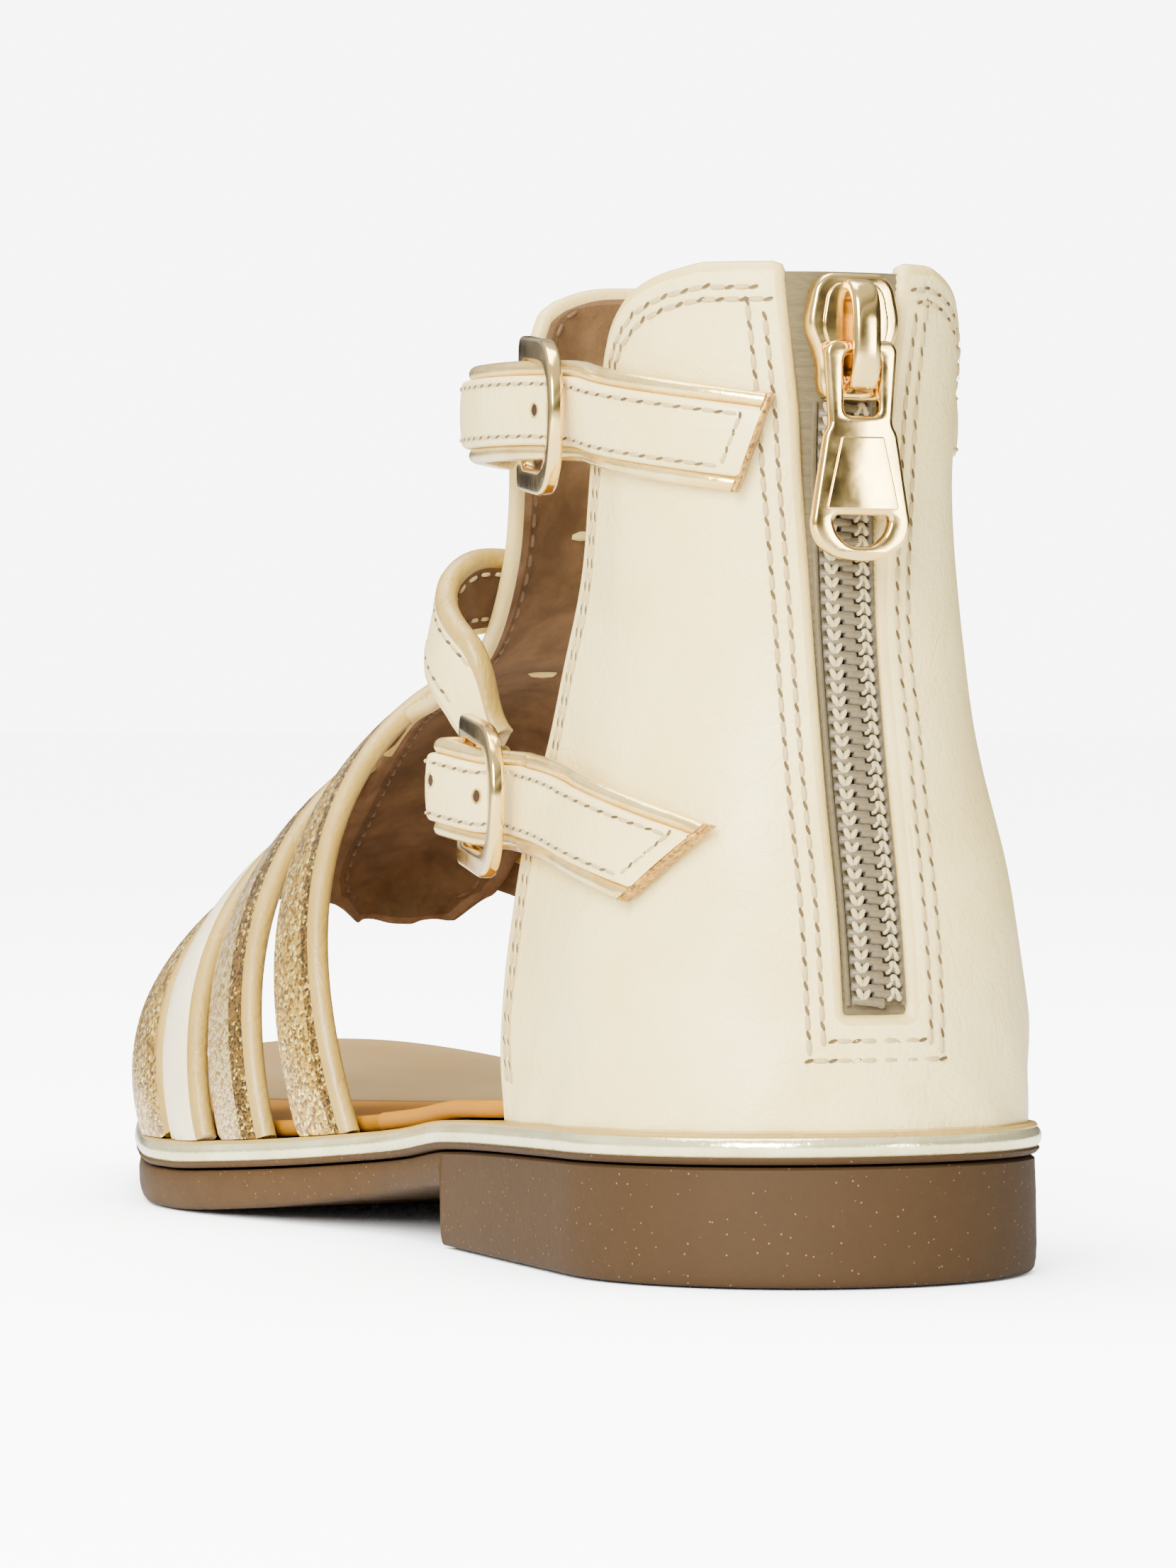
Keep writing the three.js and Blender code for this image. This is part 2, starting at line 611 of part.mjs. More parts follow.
// Bridge over the slider: an arch seen from the side, with the space that the
// pull's bar turns in
function bridge() {
  const outerY = SLIDER_FACE - BRIDGE_REACH;
  const innerY = SLIDER_FACE - HINGE_SPACE;
  const top = SLIDER_TOP - 0.7;
  const bottom = SLIDER_TOP - SLIDER_LENGTH + 0.6;
  const rounding = BRIDGE_REACH * 0.6;
  const sink = SLIDER_FACE + 0.5;
  const spaceTop = HINGE_Z + 4.6;
  const spaceBottom = HINGE_Z - PULL_BAR / 2 - 0.35;
  const outline = [
    [sink, bottom], [outerY + rounding, bottom], [outerY, bottom + rounding],
    [outerY, top - rounding], [outerY + rounding, top], [sink, top],
  ];
  const space = [
    [SLIDER_FACE, spaceBottom], [innerY + 0.4, spaceBottom], [innerY, spaceBottom + 0.4],
    [innerY, spaceTop - 0.6], [innerY + 0.6, spaceTop], [SLIDER_FACE, spaceTop],
  ];
  const half = BRIDGE_WIDTH / 2;
  const shape = flatShape(outline, [space]);
  const geometry = new THREE.ExtrudeGeometry(shape, { depth: BRIDGE_WIDTH, bevelEnabled: false });
  geometry.applyMatrix4(new THREE.Matrix4().makeBasis(point(0, 1, 0), point(0, 0, 1), point(1, 0, 0)));
  geometry.translate(SLIDER_CENTRE - half, 0, 0);
  return bare(geometry);
}

// Outline of the pull, hanging: across is a share of its width, down of its length
const PULL_OUTLINE = [
  { across: 0.3, down: 0.0 },
  { across: 0.36, down: 0.04 },
  { across: 0.31, down: 0.38 },
  { across: 0.36, down: 0.42 },
  { across: 0.5, down: 0.84 },
  { across: 0.44, down: 0.92 },
  { across: 0.25, down: 0.985 },
  { across: 0.0, down: 1.0 },
];

function zipPull() {
  const top = HINGE_Z + PULL_BAR / 2;
  const place = ({ across, down }, sign) => [
    SLIDER_CENTRE + sign * across * PULL_WIDTH,
    top - down * PULL_LENGTH,
  ];
  const outline = [
    ...PULL_OUTLINE.map((row) => place(row, lateral)),
    ...PULL_OUTLINE.slice(0, -1).reverse().map((row) => place(row, medial)),
  ];
  const windowHalf = BRIDGE_WIDTH / 2 + 0.45;
  const windowTop = HINGE_Z - PULL_BAR / 2;
  const windowBottom = top - PULL_LENGTH * 0.34;
  const eyeHalf = PULL_WIDTH * 0.3;
  const eyeTop = top - PULL_LENGTH * 0.79;
  const eyeBottom = top - PULL_LENGTH * 0.93;
  const window = [
    [SLIDER_CENTRE - windowHalf, windowTop], [SLIDER_CENTRE + windowHalf, windowTop],
    [SLIDER_CENTRE + windowHalf, windowBottom], [SLIDER_CENTRE - windowHalf, windowBottom],
  ];
  const eye = [
    [SLIDER_CENTRE - eyeHalf, eyeTop], [SLIDER_CENTRE + eyeHalf, eyeTop],
    [SLIDER_CENTRE + eyeHalf * 0.85, mix(eyeTop, eyeBottom, 0.6)], [SLIDER_CENTRE + eyeHalf * 0.4, eyeBottom],
    [SLIDER_CENTRE - eyeHalf * 0.4, eyeBottom], [SLIDER_CENTRE - eyeHalf * 0.85, mix(eyeTop, eyeBottom, 0.6)],
  ];
  return plateXZ(outline, HINGE_Y - PULL_THICKNESS / 2, HINGE_Y + PULL_THICKNESS / 2, [window, eye]);
}

// Flat band that follows a row of stations, each with a place and the
// direction of its width; section gives its outline as across and out, and a
// slanted start reaches further at its upper edge
function band(stations, section, slants = {}) {
  const last = stations.length - 1;
  const rings = stations.map(({ place, across }, i) => {
    const ahead = stations[Math.min(i + 1, last)].place;
    const behind = stations[Math.max(i - 1, 0)].place;
    const along = ahead.clone().sub(behind).normalize();
    const wide = across.clone().addScaledVector(along, -across.dot(along)).normalize();
    const out = wide.clone().cross(along).normalize();
    const slant = (i === 0 && slants.start) || 0;
    return section.map(([a, n]) => place.clone()
      .addScaledVector(wide, a)
      .addScaledVector(out, n)
      .addScaledVector(along, -slant * a));
  });
  const flat = section.map(([a, n]) => new THREE.Vector2(a, n));
  return loft(rings, THREE.ShapeUtils.triangulateShape(flat, []));
}

const plainSection = (width, thickness) => [
  [-width / 2, -thickness / 2], [width / 2, -thickness / 2],
  [width / 2, thickness / 2], [-width / 2, thickness / 2],
];

// Foil strip with a narrower leather strip on it, out from the foil's back
const steppedSection = () => {
  const [foil, leather] = [CROSS_STRAP_WIDTH / 2, OVERLAY_WIDTH / 2];
  const full = FOIL_THICKNESS + OVERLAY_THICKNESS;
  return [
    [-foil, 0], [foil, 0], [foil, FOIL_THICKNESS], [leather, FOIL_THICKNESS],
    [leather, full], [-leather, full], [-leather, FOIL_THICKNESS], [-foil, FOIL_THICKNESS],
  ];
};

// Stations along a smooth line through chosen points, with the width direction
// mixed between the points' own
function strapStations(rows, count) {
  const line = new THREE.CatmullRomCurve3(rows.map((row) => row.place), false, "centripetal");
  return range(count + 1).map((i) => {
    const t = i / count;
    const at = t * (rows.length - 1);
    const low = Math.min(Math.floor(at), rows.length - 2);
    const across = rows[low].across.clone().lerp(rows[low + 1].across, at - low).normalize();
    return { place: line.getPoint(t), across };
  });
}

// Centre panel: an arched tongue whose middle line runs from the shin down
// over the instep
const PANEL_ROWS = 18;
const PANEL_COLUMNS = 8;
const PANEL_LEAN = 0.3;
const panelLine = new THREE.CatmullRomCurve3(
  PANEL.map(({ forward, up }) => point(0, forward * SOLE_LENGTH, up * SHAFT_HEIGHT)), false, "centripetal");

function panelPoint(t, share, offset) {
  const at = t * (PANEL.length - 1);
  const low = Math.min(Math.floor(at), PANEL.length - 2);
  const value = (column) => mix(PANEL[low][column], PANEL[low + 1][column], at - low) * HEEL_WIDTH;
  const middle = panelLine.getPoint(t);
  const down = panelLine.getTangent(t);
  const out = point(0, -down.z, down.y);
  const radius = value("radius");
  const turn = (share * value("half")) / radius;
  const lean = quarterRow(Math.min(middle.z, SHAFT_HEIGHT)).lean;
  return middle
    .addScaledVector(out, radius * (Math.cos(turn) - 1) + offset * Math.cos(turn))
    .add(point(PANEL_LEAN * lean + (radius + offset) * Math.sin(turn), 0, 0));
}

// Share down the panel at which a coordinate of its middle line has a value
function panelShare(axis, wanted) {
  const rising = axis === "y";
  let [low, high] = [0, 1];
  for (const _ of range(24)) {
    const t = (low + high) / 2;
    if (panelLine.getPoint(t)[axis] < wanted === rising) low = t;
    else high = t;
  }
  return (low + high) / 2;
}

// Middle of a strap's thickness where it lies on the panel, sunk in to join it
const ON_PANEL = STRAP_THICKNESS / 2 - JOIN_DEPTH;
const onPanelAt = (y) => panelPoint(panelShare("y", y), 0, ON_PANEL);
const onPanel = ({ up, share, offset }) => {
  const t = panelShare("z", up * SHAFT_HEIGHT);
  return { place: panelPoint(t, share, offset), across: panelLine.getTangent(t).negate() };
};


// Half round of a toe strap's arch
const ARCH_STEPS = 11;
const BULGE_PEAK = 2 / Math.sqrt(27);

function archPoint(strap, turn) {
  const side = turn < 0 ? lateral : medial;
  const footY = (side === lateral ? strap.outerFoot : strap.innerFoot) * SOLE_LENGTH;
  const bulge = (side === lateral ? strap.outerBulge : strap.innerBulge) * BALL_WIDTH;
  const inset = GAP + STRAP_THICKNESS / 2 + 0.2;
  const footX = soleEdge(side, footY) - side * inset;
  const footZ = midsoleTop(footY) + GAP;
  const crown = onPanelAt(strap.crown * SOLE_LENGTH);
  const angle = Math.abs(turn) * (Math.PI / 2);
  const [s, c] = [Math.sin(angle), Math.cos(angle)];
  const x = crown.x + (footX - crown.x) * s + side * bulge * (s * s * c) / BULGE_PEAK;
  const y = mix(footY, crown.y, c);
  const z = mix(footZ, crown.z, c);
  return point(x, y, z);
}

function toeStrap(strap, index) {
  const neighbour = TOE_STRAPS[index > 0 ? index - 1 : index + 1];
  const way = index > 0 ? 1 : -1;
  const stations = range(2 * ARCH_STEPS + 1).map((i) => {
    const turn = i / ARCH_STEPS - 1;
    const place = archPoint(strap, turn);
    const across = archPoint(neighbour, turn).sub(place).multiplyScalar(way).normalize();
    const flat = THREE.MathUtils.smoothstep(Math.abs(turn), 0.75, 1);
    across.z *= 1 - flat;
    return { place, across: across.normalize() };
  });
  const foot = (end, next) => ({
    place: end.place.clone().add(end.place.clone().sub(next.place).setLength(FOOT_REACH)),
    across: end.across,
  });
  const first = foot(stations[0], stations[1]);
  const last = foot(stations[stations.length - 1], stations[stations.length - 2]);
  return band([first, ...stations, last], plainSection(TOE_STRAP_WIDTH, STRAP_THICKNESS));
}

// Everything under the straps' feet, down from just above the midsole
const FOOT_REACH = 4;
function underStraps() {
  const sides = [-BALL_WIDTH, BALL_WIDTH];
  const rows = SOLE_STATIONS.filter((y) => y > HEEL_LENGTH);
  const grid = (height) => rows.map((y) => sides.map((x) => point(x, y, height(y))));
  return thickSheet(grid((y) => midsoleTop(y) + GAP), grid(() => -HEEL_HEIGHT));
}

function centrePanel() {
  const grid = (offset) => range(PANEL_ROWS + 1).map((i) => range(PANEL_COLUMNS + 1)
    .map((j) => panelPoint(i / PANEL_ROWS, (2 * j) / PANEL_COLUMNS - 1, offset)));
  return thickSheet(grid(0), grid(-PANEL_THICKNESS));
}

// Places off the quarter that a strap passes, as shares of the heel width
// across and forward and of the shaft height up; wide is how far back its
// upper edge leans
const free = ({ x, y, up, wide = 0 }) => ({
  place: point(x * HEEL_WIDTH, y * HEEL_WIDTH, up * SHAFT_HEIGHT),
  across: point(0, -wide, 1).normalize(),
});

// Places on the quarter's wall: round and up as the same shares. The strap's
// back, or its face when it runs inside, keeps the gap over the whole width
function onHeel({ side = lateral, round, up, inside = 0 }) {
  const half = CROSS_STRAP_WIDTH / 2;
  const way = inside > 0 ? -1 : 1;
  const offset = inside > 0 ? -WALL : 0;
  const at = (z) => onQuarter(side, round * HEEL_WIDTH, z, offset);
  const z = up * SHAFT_HEIGHT;
  const [high, middle, low] = [at(z + half), at(z), at(z - half)];
  const normal = quarterNormal(side, round * HEEL_WIDTH, z).multiplyScalar(way);
  const place = high.clone().add(low).multiplyScalar(0.5);
  const push = Math.max(0, middle.clone().sub(place).dot(normal));
  place.addScaledVector(normal, push + GAP + FACET_ALLOWANCE + inside);
  return { place, across: high.sub(low).normalize() };
}

// Tail of a strap laid on the quarter, from its tip to where it leaves
const TAIL_STEPS = 9;
const FACET_ALLOWANCE = 0.25;
const tailRows = ({ tip, leave }) => range(TAIL_STEPS + 1).map((i) => {
  const t = i / TAIL_STEPS;
  return onHeel({ round: mix(tip.round, leave.round, t), up: mix(tip.up, leave.up, t) });
});

// Ankle strap: from its slanted tip on the outer side of the heel, through the
// buckle, round the shin over the panel and in under the inner front edge
const ANKLE_TAIL = { tip: { round: 0.182, up: 0.833 }, leave: { round: 0.66, up: 0.87 } };
const ANKLE_OUTER = [
  { x: -0.452, y: 0.68, up: 0.873 },
  { x: -0.478, y: 0.82, up: 0.875 },
  { x: -0.48, y: 0.98, up: 0.876 },
  { x: -0.44, y: 1.15, up: 0.877 },
];
const ANKLE_INNER = [
  { x: 0.43, y: 1.15, up: 0.876 },
  { x: 0.49, y: 0.98, up: 0.872 },
  { x: 0.45, y: 0.81, up: 0.868 },
  { x: 0.33, y: 0.69, up: 0.865 },
  { x: 0.222, y: 0.6, up: 0.862 },
];
const ANKLE_END = [{ round: 0.56, up: 0.86 }, { round: 0.46, up: 0.858 }];
const ANKLE_CROSSING = { up: 0.878, shares: [-0.8, -0.3, 0.3, 0.8] };
const ANKLE_TIP_SLANT = 0.22;

function ankleStrap() {
  const { up, shares } = ANKLE_CROSSING;
  const crossing = shares.map((share) => onPanel({ up, share, offset: -JOIN_DEPTH }));
  const rows = [
    ...tailRows(ANKLE_TAIL), ...ANKLE_OUTER.map(free), ...crossing, ...ANKLE_INNER.map(free),
    ...ANKLE_END.map((row) => onHeel({ side: medial, ...row, inside: FOIL_THICKNESS + OVERLAY_THICKNESS })),
  ];
  return band(strapStations(rows, 54), steppedSection(), { start: ANKLE_TIP_SLANT });
}

// Middle strap: from inside the inner front edge, out in a loop, over the
// panel, out in a second loop and down to its free end behind the lower buckle
const MIDDLE_OUTER = [
  { x: -0.392, y: 1.05, up: 0.545, wide: 0.3 },
  { x: -0.425, y: 1.115, up: 0.57, wide: 0.4 },
  { x: -0.463, y: 1.18, up: 0.6, wide: 0.5 },
  { x: -0.485, y: 1.26, up: 0.625, wide: 0.6 },
  { x: -0.475, y: 1.34, up: 0.648, wide: 0.65 },
  { x: -0.445, y: 1.4, up: 0.668, wide: 0.6 },
  { x: -0.38, y: 1.445, up: 0.69, wide: 0.5 },
];
const MIDDLE_INNER = [
  { x: 0.38, y: 1.45, up: 0.697, wide: 0.5 },
  { x: 0.5, y: 1.44, up: 0.68, wide: 0.3 },
  { x: 0.61, y: 1.35, up: 0.65, wide: 0.3 },
  { x: 0.64, y: 1.2, up: 0.613, wide: 0.3 },
  { x: 0.54, y: 1.01, up: 0.565, wide: 0.3 },
  { x: 0.32, y: 0.86, up: 0.535, wide: 0.2 },
];
const MIDDLE_END = [{ round: 0.77, up: 0.522 }, { round: 0.65, up: 0.51 }];
const MIDDLE_CROSSING = { up: 0.715, shares: [-0.75, -0.3, 0.3, 0.75] };

function middleStrap() {
  const { up, shares } = MIDDLE_CROSSING;
  const crossing = shares.map((share) => onPanel({ up, share, offset: ON_PANEL }));
  const rows = [
    ...MIDDLE_OUTER.map(free), ...crossing, ...MIDDLE_INNER.map(free),
    ...MIDDLE_END.map((row) => onHeel({ side: medial, ...row, inside: STRAP_THICKNESS / 2 })),
  ];
  return band(strapStations(rows, 48), plainSection(CROSS_STRAP_WIDTH, STRAP_THICKNESS));
}

function strapUpper() {
  const all = joined([centrePanel(), ...TOE_STRAPS.map(toeStrap), ankleStrap(), middleStrap()]);
  return cut(all, underStraps());
}

// Lower buckle strap: from its slanted tip on the heel, through the lower
// buckle, and folded back round the buckle's straight bar
const LOWER_TAIL = { tip: { round: 0.4, up: 0.418 }, leave: { round: 0.98, up: 0.474 } };
const LOWER_ROUTE = [
  { x: -0.503, y: 0.93, up: 0.481 },
  { x: -0.522, y: 1.02, up: 0.484 },
  { x: -0.535, y: 1.1, up: 0.487 },
];
const LOWER_TIP_SLANT = 0.72;
const FOLD_STEPS = 6;
const FOLD_RETURN = 5;

// Fold at the end of a strap: its centre, the way ahead and the way in
function foldFrame(rows) {
  const line = strapStations(rows, 26);
  const end = line[line.length - 1].place;
  const ahead = end.clone().sub(line[line.length - 2].place).normalize();
  const inwards = UP.clone().cross(ahead).negate().normalize();
  const radius = BUCKLE_THICKNESS / 2 + GAP + FACET_ALLOWANCE;
  return { line, ahead, inwards, radius, centre: end.clone().addScaledVector(inwards, radius) };
}

const LOWER_FOLD = foldFrame([...tailRows(LOWER_TAIL), ...LOWER_ROUTE.map(free)]);

function lowerBuckleStrap() {
  const { line, ahead, inwards, radius, centre } = LOWER_FOLD;
  const fold = range(FOLD_STEPS).map((i) => {
    const turn = ((i + 1) / FOLD_STEPS) * Math.PI;
    const place = centre.clone()
      .addScaledVector(inwards, -radius * Math.cos(turn))
      .addScaledVector(ahead, radius * Math.sin(turn));
    return { place, across: UP.clone() };
  });
  const back = fold[fold.length - 1].place.clone().addScaledVector(ahead, -FOLD_RETURN);
  const stations = [...line, ...fold, { place: back, across: UP.clone() }];
  return band(stations, steppedSection(), { start: LOWER_TIP_SLANT });
}

// Buckle: a flat D ring from its straight bar behind the strap to its curved
// bar over the strap
const BUCKLE_CURVE_STEPS = 8;
const BUCKLE_FULLNESS = 2.4;
const ANKLE_BUCKLE = {
  bar: free({ x: -0.452, y: 0.86, up: 0.874 }).place,
  curve: free({ x: -0.518, y: 0.475, up: 0.858 }).place,
};
const LOWER_BUCKLE = {
  bar: LOWER_FOLD.centre.clone().addScaledVector(LOWER_FOLD.ahead, -BUCKLE_BAND / 2),
  curve: free({ x: -0.56, y: 0.73, up: 0.468 }).place,
};

function buckleOutline(inset) {
  const half = BUCKLE_HEIGHT / 2 - inset;
  const from = -BUCKLE_BAND / 2 + inset;
  const to = BUCKLE_LENGTH - BUCKLE_BAND / 2 - inset;
  const round = Math.min(half, BUCKLE_LENGTH * 0.45);
  const corner = range(BUCKLE_CURVE_STEPS + 1).map((i) => {
    const turn = (i / BUCKLE_CURVE_STEPS) * (Math.PI / 2);
    return [
      to - round + round * Math.sin(turn) ** (2 / BUCKLE_FULLNESS),
      half * Math.cos(turn) ** (2 / BUCKLE_FULLNESS),
    ];
  });
  const mirrored = corner.slice(0, -1).reverse().map(([s, a]) => [s, -a]);
  return [[from, half], ...corner, ...mirrored, [from, -half]];
}

function buckle({ bar: start, curve }) {
  const ahead = curve.clone().sub(start).normalize();
  const side = UP.clone().addScaledVector(ahead, -UP.dot(ahead)).normalize();
  const out = ahead.clone().cross(side);
  const shape = flatShape(buckleOutline(0), [buckleOutline(BUCKLE_BAND)]);
  const geometry = new THREE.ExtrudeGeometry(shape, { depth: BUCKLE_THICKNESS, bevelEnabled: false });
  geometry.translate(0, 0, -BUCKLE_THICKNESS / 2);
  geometry.applyMatrix4(new THREE.Matrix4().makeBasis(ahead, side, out));
  geometry.translate(start.x, start.y, start.z);
  return bare(geometry);
}

const finish = (color, roughness, metalness) => new THREE.MeshStandardMaterial({ color, roughness, metalness });
const cream = finish("#efe6d0", 0.5, 0);
const brown = finish("#8f6b4c", 0.75, 0);
const gold = finish("#e3d08f", 0.22, 0.9);
const paleFoil = finish("#e6e2c2", 0.25, 0.6);
const tan = finish("#c99a55", 0.6, 0);
const greige = finish("#9a8f74", 0.85, 0);

const sandal = new THREE.Group();
function add(name, geometry, material) {
  const mesh = new THREE.Mesh(geometry, material);
  mesh.name = name;
  sandal.add(mesh);
}

add("outsole", outsole(), brown);
add("midsole", midsole(), paleFoil);
add("insole", insole(), tan);
add("back_quarter", backQuarter(), cream);
add("zip_tape", zipTape(), greige);
add("zip_chain", zipChain(), greige);
add("zip_slider", slider(), gold);
add("zip_pull", zipPull(), gold);
add("strap_upper", strapUpper(), cream);
add("lower_buckle_strap", lowerBuckleStrap(), cream);
add("ankle_buckle", buckle(ANKLE_BUCKLE), gold);
add("lower_buckle", buckle(LOWER_BUCKLE), gold);

// The origin is on the floor under the middle of the sole's box
const soleEdges = SOLE_STATIONS.map((y) => [soleEdge(lateral, y), soleEdge(medial, y)]).flat();
const middleX = (Math.min(...soleEdges) + Math.max(...soleEdges)) / 2;
sandal.position.set(-middleX, -SOLE_LENGTH / 2, 0);

export default sandal;
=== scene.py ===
"""Child's left gladiator sandal in cream and gold leather, seen from behind.

The toe points along +Y, the outer side of the foot is -X and +Z is up. Points are
worked out in millimetres from the rearmost point of the heel on the floor, and
only the functions that make meshes turn them to metres in the shared frame.
"""
import math

import bpy
import bmesh
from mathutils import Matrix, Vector


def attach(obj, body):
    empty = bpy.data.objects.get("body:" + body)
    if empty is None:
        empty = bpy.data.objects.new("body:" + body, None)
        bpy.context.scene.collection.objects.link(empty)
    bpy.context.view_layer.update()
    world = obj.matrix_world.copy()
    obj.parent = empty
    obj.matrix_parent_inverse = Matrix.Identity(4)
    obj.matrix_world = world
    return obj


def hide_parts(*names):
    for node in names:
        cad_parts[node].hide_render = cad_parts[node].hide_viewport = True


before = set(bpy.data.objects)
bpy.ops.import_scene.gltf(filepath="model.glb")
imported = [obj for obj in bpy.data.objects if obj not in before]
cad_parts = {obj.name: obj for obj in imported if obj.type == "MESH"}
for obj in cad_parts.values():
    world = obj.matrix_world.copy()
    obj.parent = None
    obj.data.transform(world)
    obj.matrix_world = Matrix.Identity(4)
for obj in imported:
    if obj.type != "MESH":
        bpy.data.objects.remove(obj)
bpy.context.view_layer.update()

UP = Vector((0, 0, 1))
LATERAL = -1
MEDIAL = 1

# Sizes of the sandal, in millimetres
SOLE_LENGTH = 206
BALL_WIDTH = 71
HEEL_WIDTH = 49
HEEL_HEIGHT = 11.8
HEEL_LENGTH = 62
MIDSOLE_THICKNESS = 3
INSOLE_THICKNESS = 1.8
SHAFT_HEIGHT = 99
WALL = 2.2
STRAP = 2.0
PANEL_THICKNESS = 1.8
TOE_WIDTH = 9.6
CROSS_WIDTH = 10
FOIL = 1.1
OVERLAY_WIDTH = 7
OVERLAY = 1.1
SINK = 0.4
ZIP_SLOT = 7.8
ZIP_MOUTH = 14.4
ZIP_BOTTOM = 25.5
TAPE_RECESS = 0.9
SLIDER_LENGTH = 12.4
SLIDER_WIDTH = 9.8
SLIDER_DEPTH = 2.4
PULL_LENGTH = 21.5
PULL_WIDTH = 10.4
PULL_THICKNESS = 1.4
BUCKLE_HEIGHT = 15.8
BUCKLE_LENGTH = 19
BUCKLE_BAND = 1.9
BUCKLE_THICKNESS = 1.5
GAP = 0.3
FACET = 0.25
STITCH_PITCH = 2.4
STRAP_PITCH = 2.2
SLANT_FADE = 9

# Plan of the sole: share of the length, then outer and inner share of the ball width
PLAN = [
    (0.0, 0.345, 0.345), (0.2, 0.345, 0.345), (0.3, 0.343, 0.338), (0.39, 0.351, 0.325),
    (0.48, 0.424, 0.344), (0.56, 0.494, 0.4), (0.62, 0.512, 0.452), (0.71, 0.455, 0.492),
    (0.8, 0.378, 0.502), (0.9, 0.3, 0.49), (1.0, 0.23, 0.475),
]
TOE_ROUNDING = 0.235
TOE_FULLNESS = 2.3

# Side view of the sole: share of the length, then underside and top of the heel height
PROFILE = [
    (0.0, 0.0, 1.0), (0.15, 0.0, 0.945), (0.3, 0.53, 0.84), (0.36, 0.43, 0.71),
    (0.42, 0.29, 0.6), (0.48, 0.155, 0.5), (0.54, 0.05, 0.42), (0.59, 0.0, 0.37),
    (0.66, 0.0, 0.365), (0.73, 0.0, 0.365), (0.8, 0.055, 0.41), (0.87, 0.15, 0.5),
    (0.94, 0.3, 0.64), (1.0, 0.45, 0.78),
]
# Inset of the footbed from the sole's edge: share of the length, then millimetres
INSOLE_INSET = [
    (0.0, 3.6), (0.235, 3.6), (0.26, 1.1), (0.4, 1.1),
    (0.425, 3.9), (0.69, 3.9), (0.72, 1.1), (1.0, 1.1),
]

# Back quarter by height: back, half width, lean, outer and inner front edge
QUARTER = [
    (0.12, 0.012, 0.485, 0.0, 0.91, 0.93), (0.25, 0.03, 0.492, 0.0, 0.895, 0.915),
    (0.37, 0.05, 0.472, -0.008, 0.862, 0.875), (0.505, 0.082, 0.42, -0.023, 0.782, 0.79),
    (0.656, 0.1, 0.368, -0.04, 0.68, 0.685), (0.79, 0.098, 0.356, -0.05, 0.605, 0.59),
    (0.87, 0.084, 0.362, -0.053, 0.54, 0.47), (0.93, 0.07, 0.372, -0.055, 0.45, 0.335),
    (0.97, 0.062, 0.376, -0.056, 0.35, 0.235), (0.99, 0.06, 0.378, -0.056, 0.26, 0.17),
    (1.0, 0.06, 0.378, -0.056, 0.18, 0.125),
]

# Centre panel: forward, up, half width and radius of its arch
PANEL = [
    (0.332, 1.015, 0.16, 0.45), (0.335, 0.995, 0.245, 0.45), (0.341, 0.94, 0.295, 0.455),
    (0.344, 0.87, 0.315, 0.46), (0.352, 0.79, 0.32, 0.45), (0.375, 0.71, 0.315, 0.43),
    (0.42, 0.655, 0.305, 0.43), (0.48, 0.622, 0.28, 0.48), (0.546, 0.588, 0.255, 0.53),
    (0.606, 0.518, 0.245, 0.58), (0.657, 0.453, 0.24, 0.6), (0.702, 0.396, 0.235, 0.62),
    (0.714, 0.36, 0.215, 0.62), (0.717, 0.325, 0.13, 0.62),
]
PANEL_LEAN = 0.3

# Toe straps from the toe back: outer foot, inner foot, crown, outer and inner bulge
TOE_STRAPS = [
    (0.626, 0.665, 0.702, 0.025, 0.03), (0.577, 0.614, 0.657, 0.02, 0.035),
    (0.523, 0.563, 0.606, 0.025, 0.04), (0.452, 0.5, 0.546, 0.045, 0.045),
]


def mix(a, b, t):
    return a + (b - a) * t


def spread(count):
    """Even steps from 0 to 1."""
    return [i / count for i in range(count + 1)]


def smooth(t):
    return t * t * (3 - 2 * t)


def oval(centre, across, up, sides):
    """Closed ring of points round a centre, through the ends of its two half axes."""
    turns = [math.tau * k / sides for k in range(sides)]
    return [centre + across * math.cos(turn) + up * math.sin(turn) for turn in turns]


def grid_faces(rows, columns):
    """Quads over a grid of points that are listed row by row."""
    starts = [i * (columns + 1) + j for i in range(rows) for j in range(columns)]
    return [[a, a + 1, a + columns + 2, a + columns + 1] for a in starts]


def fan_faces(sides):
    """Triangles from a ring of points to the point listed after it."""
    return [[k, (k + 1) % sides, sides] for k in range(sides)]


def table_value(table, share, column):
    """Smooth value of a column at a share along the table's first column."""
    if share <= table[0][0]:
        return table[0][column]
    if share >= table[-1][0]:
        return table[-1][column]
    after = next(i for i, row in enumerate(table) if row[0] >= share)
    a, b = table[after - 1], table[after]
    before, beyond = table[max(after - 2, 0)], table[min(after + 1, len(table) - 1)]
    span = b[0] - a[0]
    t = (share - a[0]) / span

    def slope(p, q):
        return (q[column] - p[column]) / (q[0] - p[0]) if q[0] > p[0] else 0

    def limit(value, chord):
        return 0 if value * chord <= 0 else math.copysign(min(abs(value), 3 * abs(chord)), chord)

    chord = slope(a, b)
    slope_in = limit(slope(before, b), chord) * span
    slope_out = limit(slope(a, beyond), chord) * span
    t2, t3 = t * t, t * t * t
    return ((2 * t3 - 3 * t2 + 1) * a[column] + (t3 - 2 * t2 + t) * slope_in
            + (3 * t2 - 2 * t3) * b[column] + (t3 - t2) * slope_out)


# The sole's surfaces

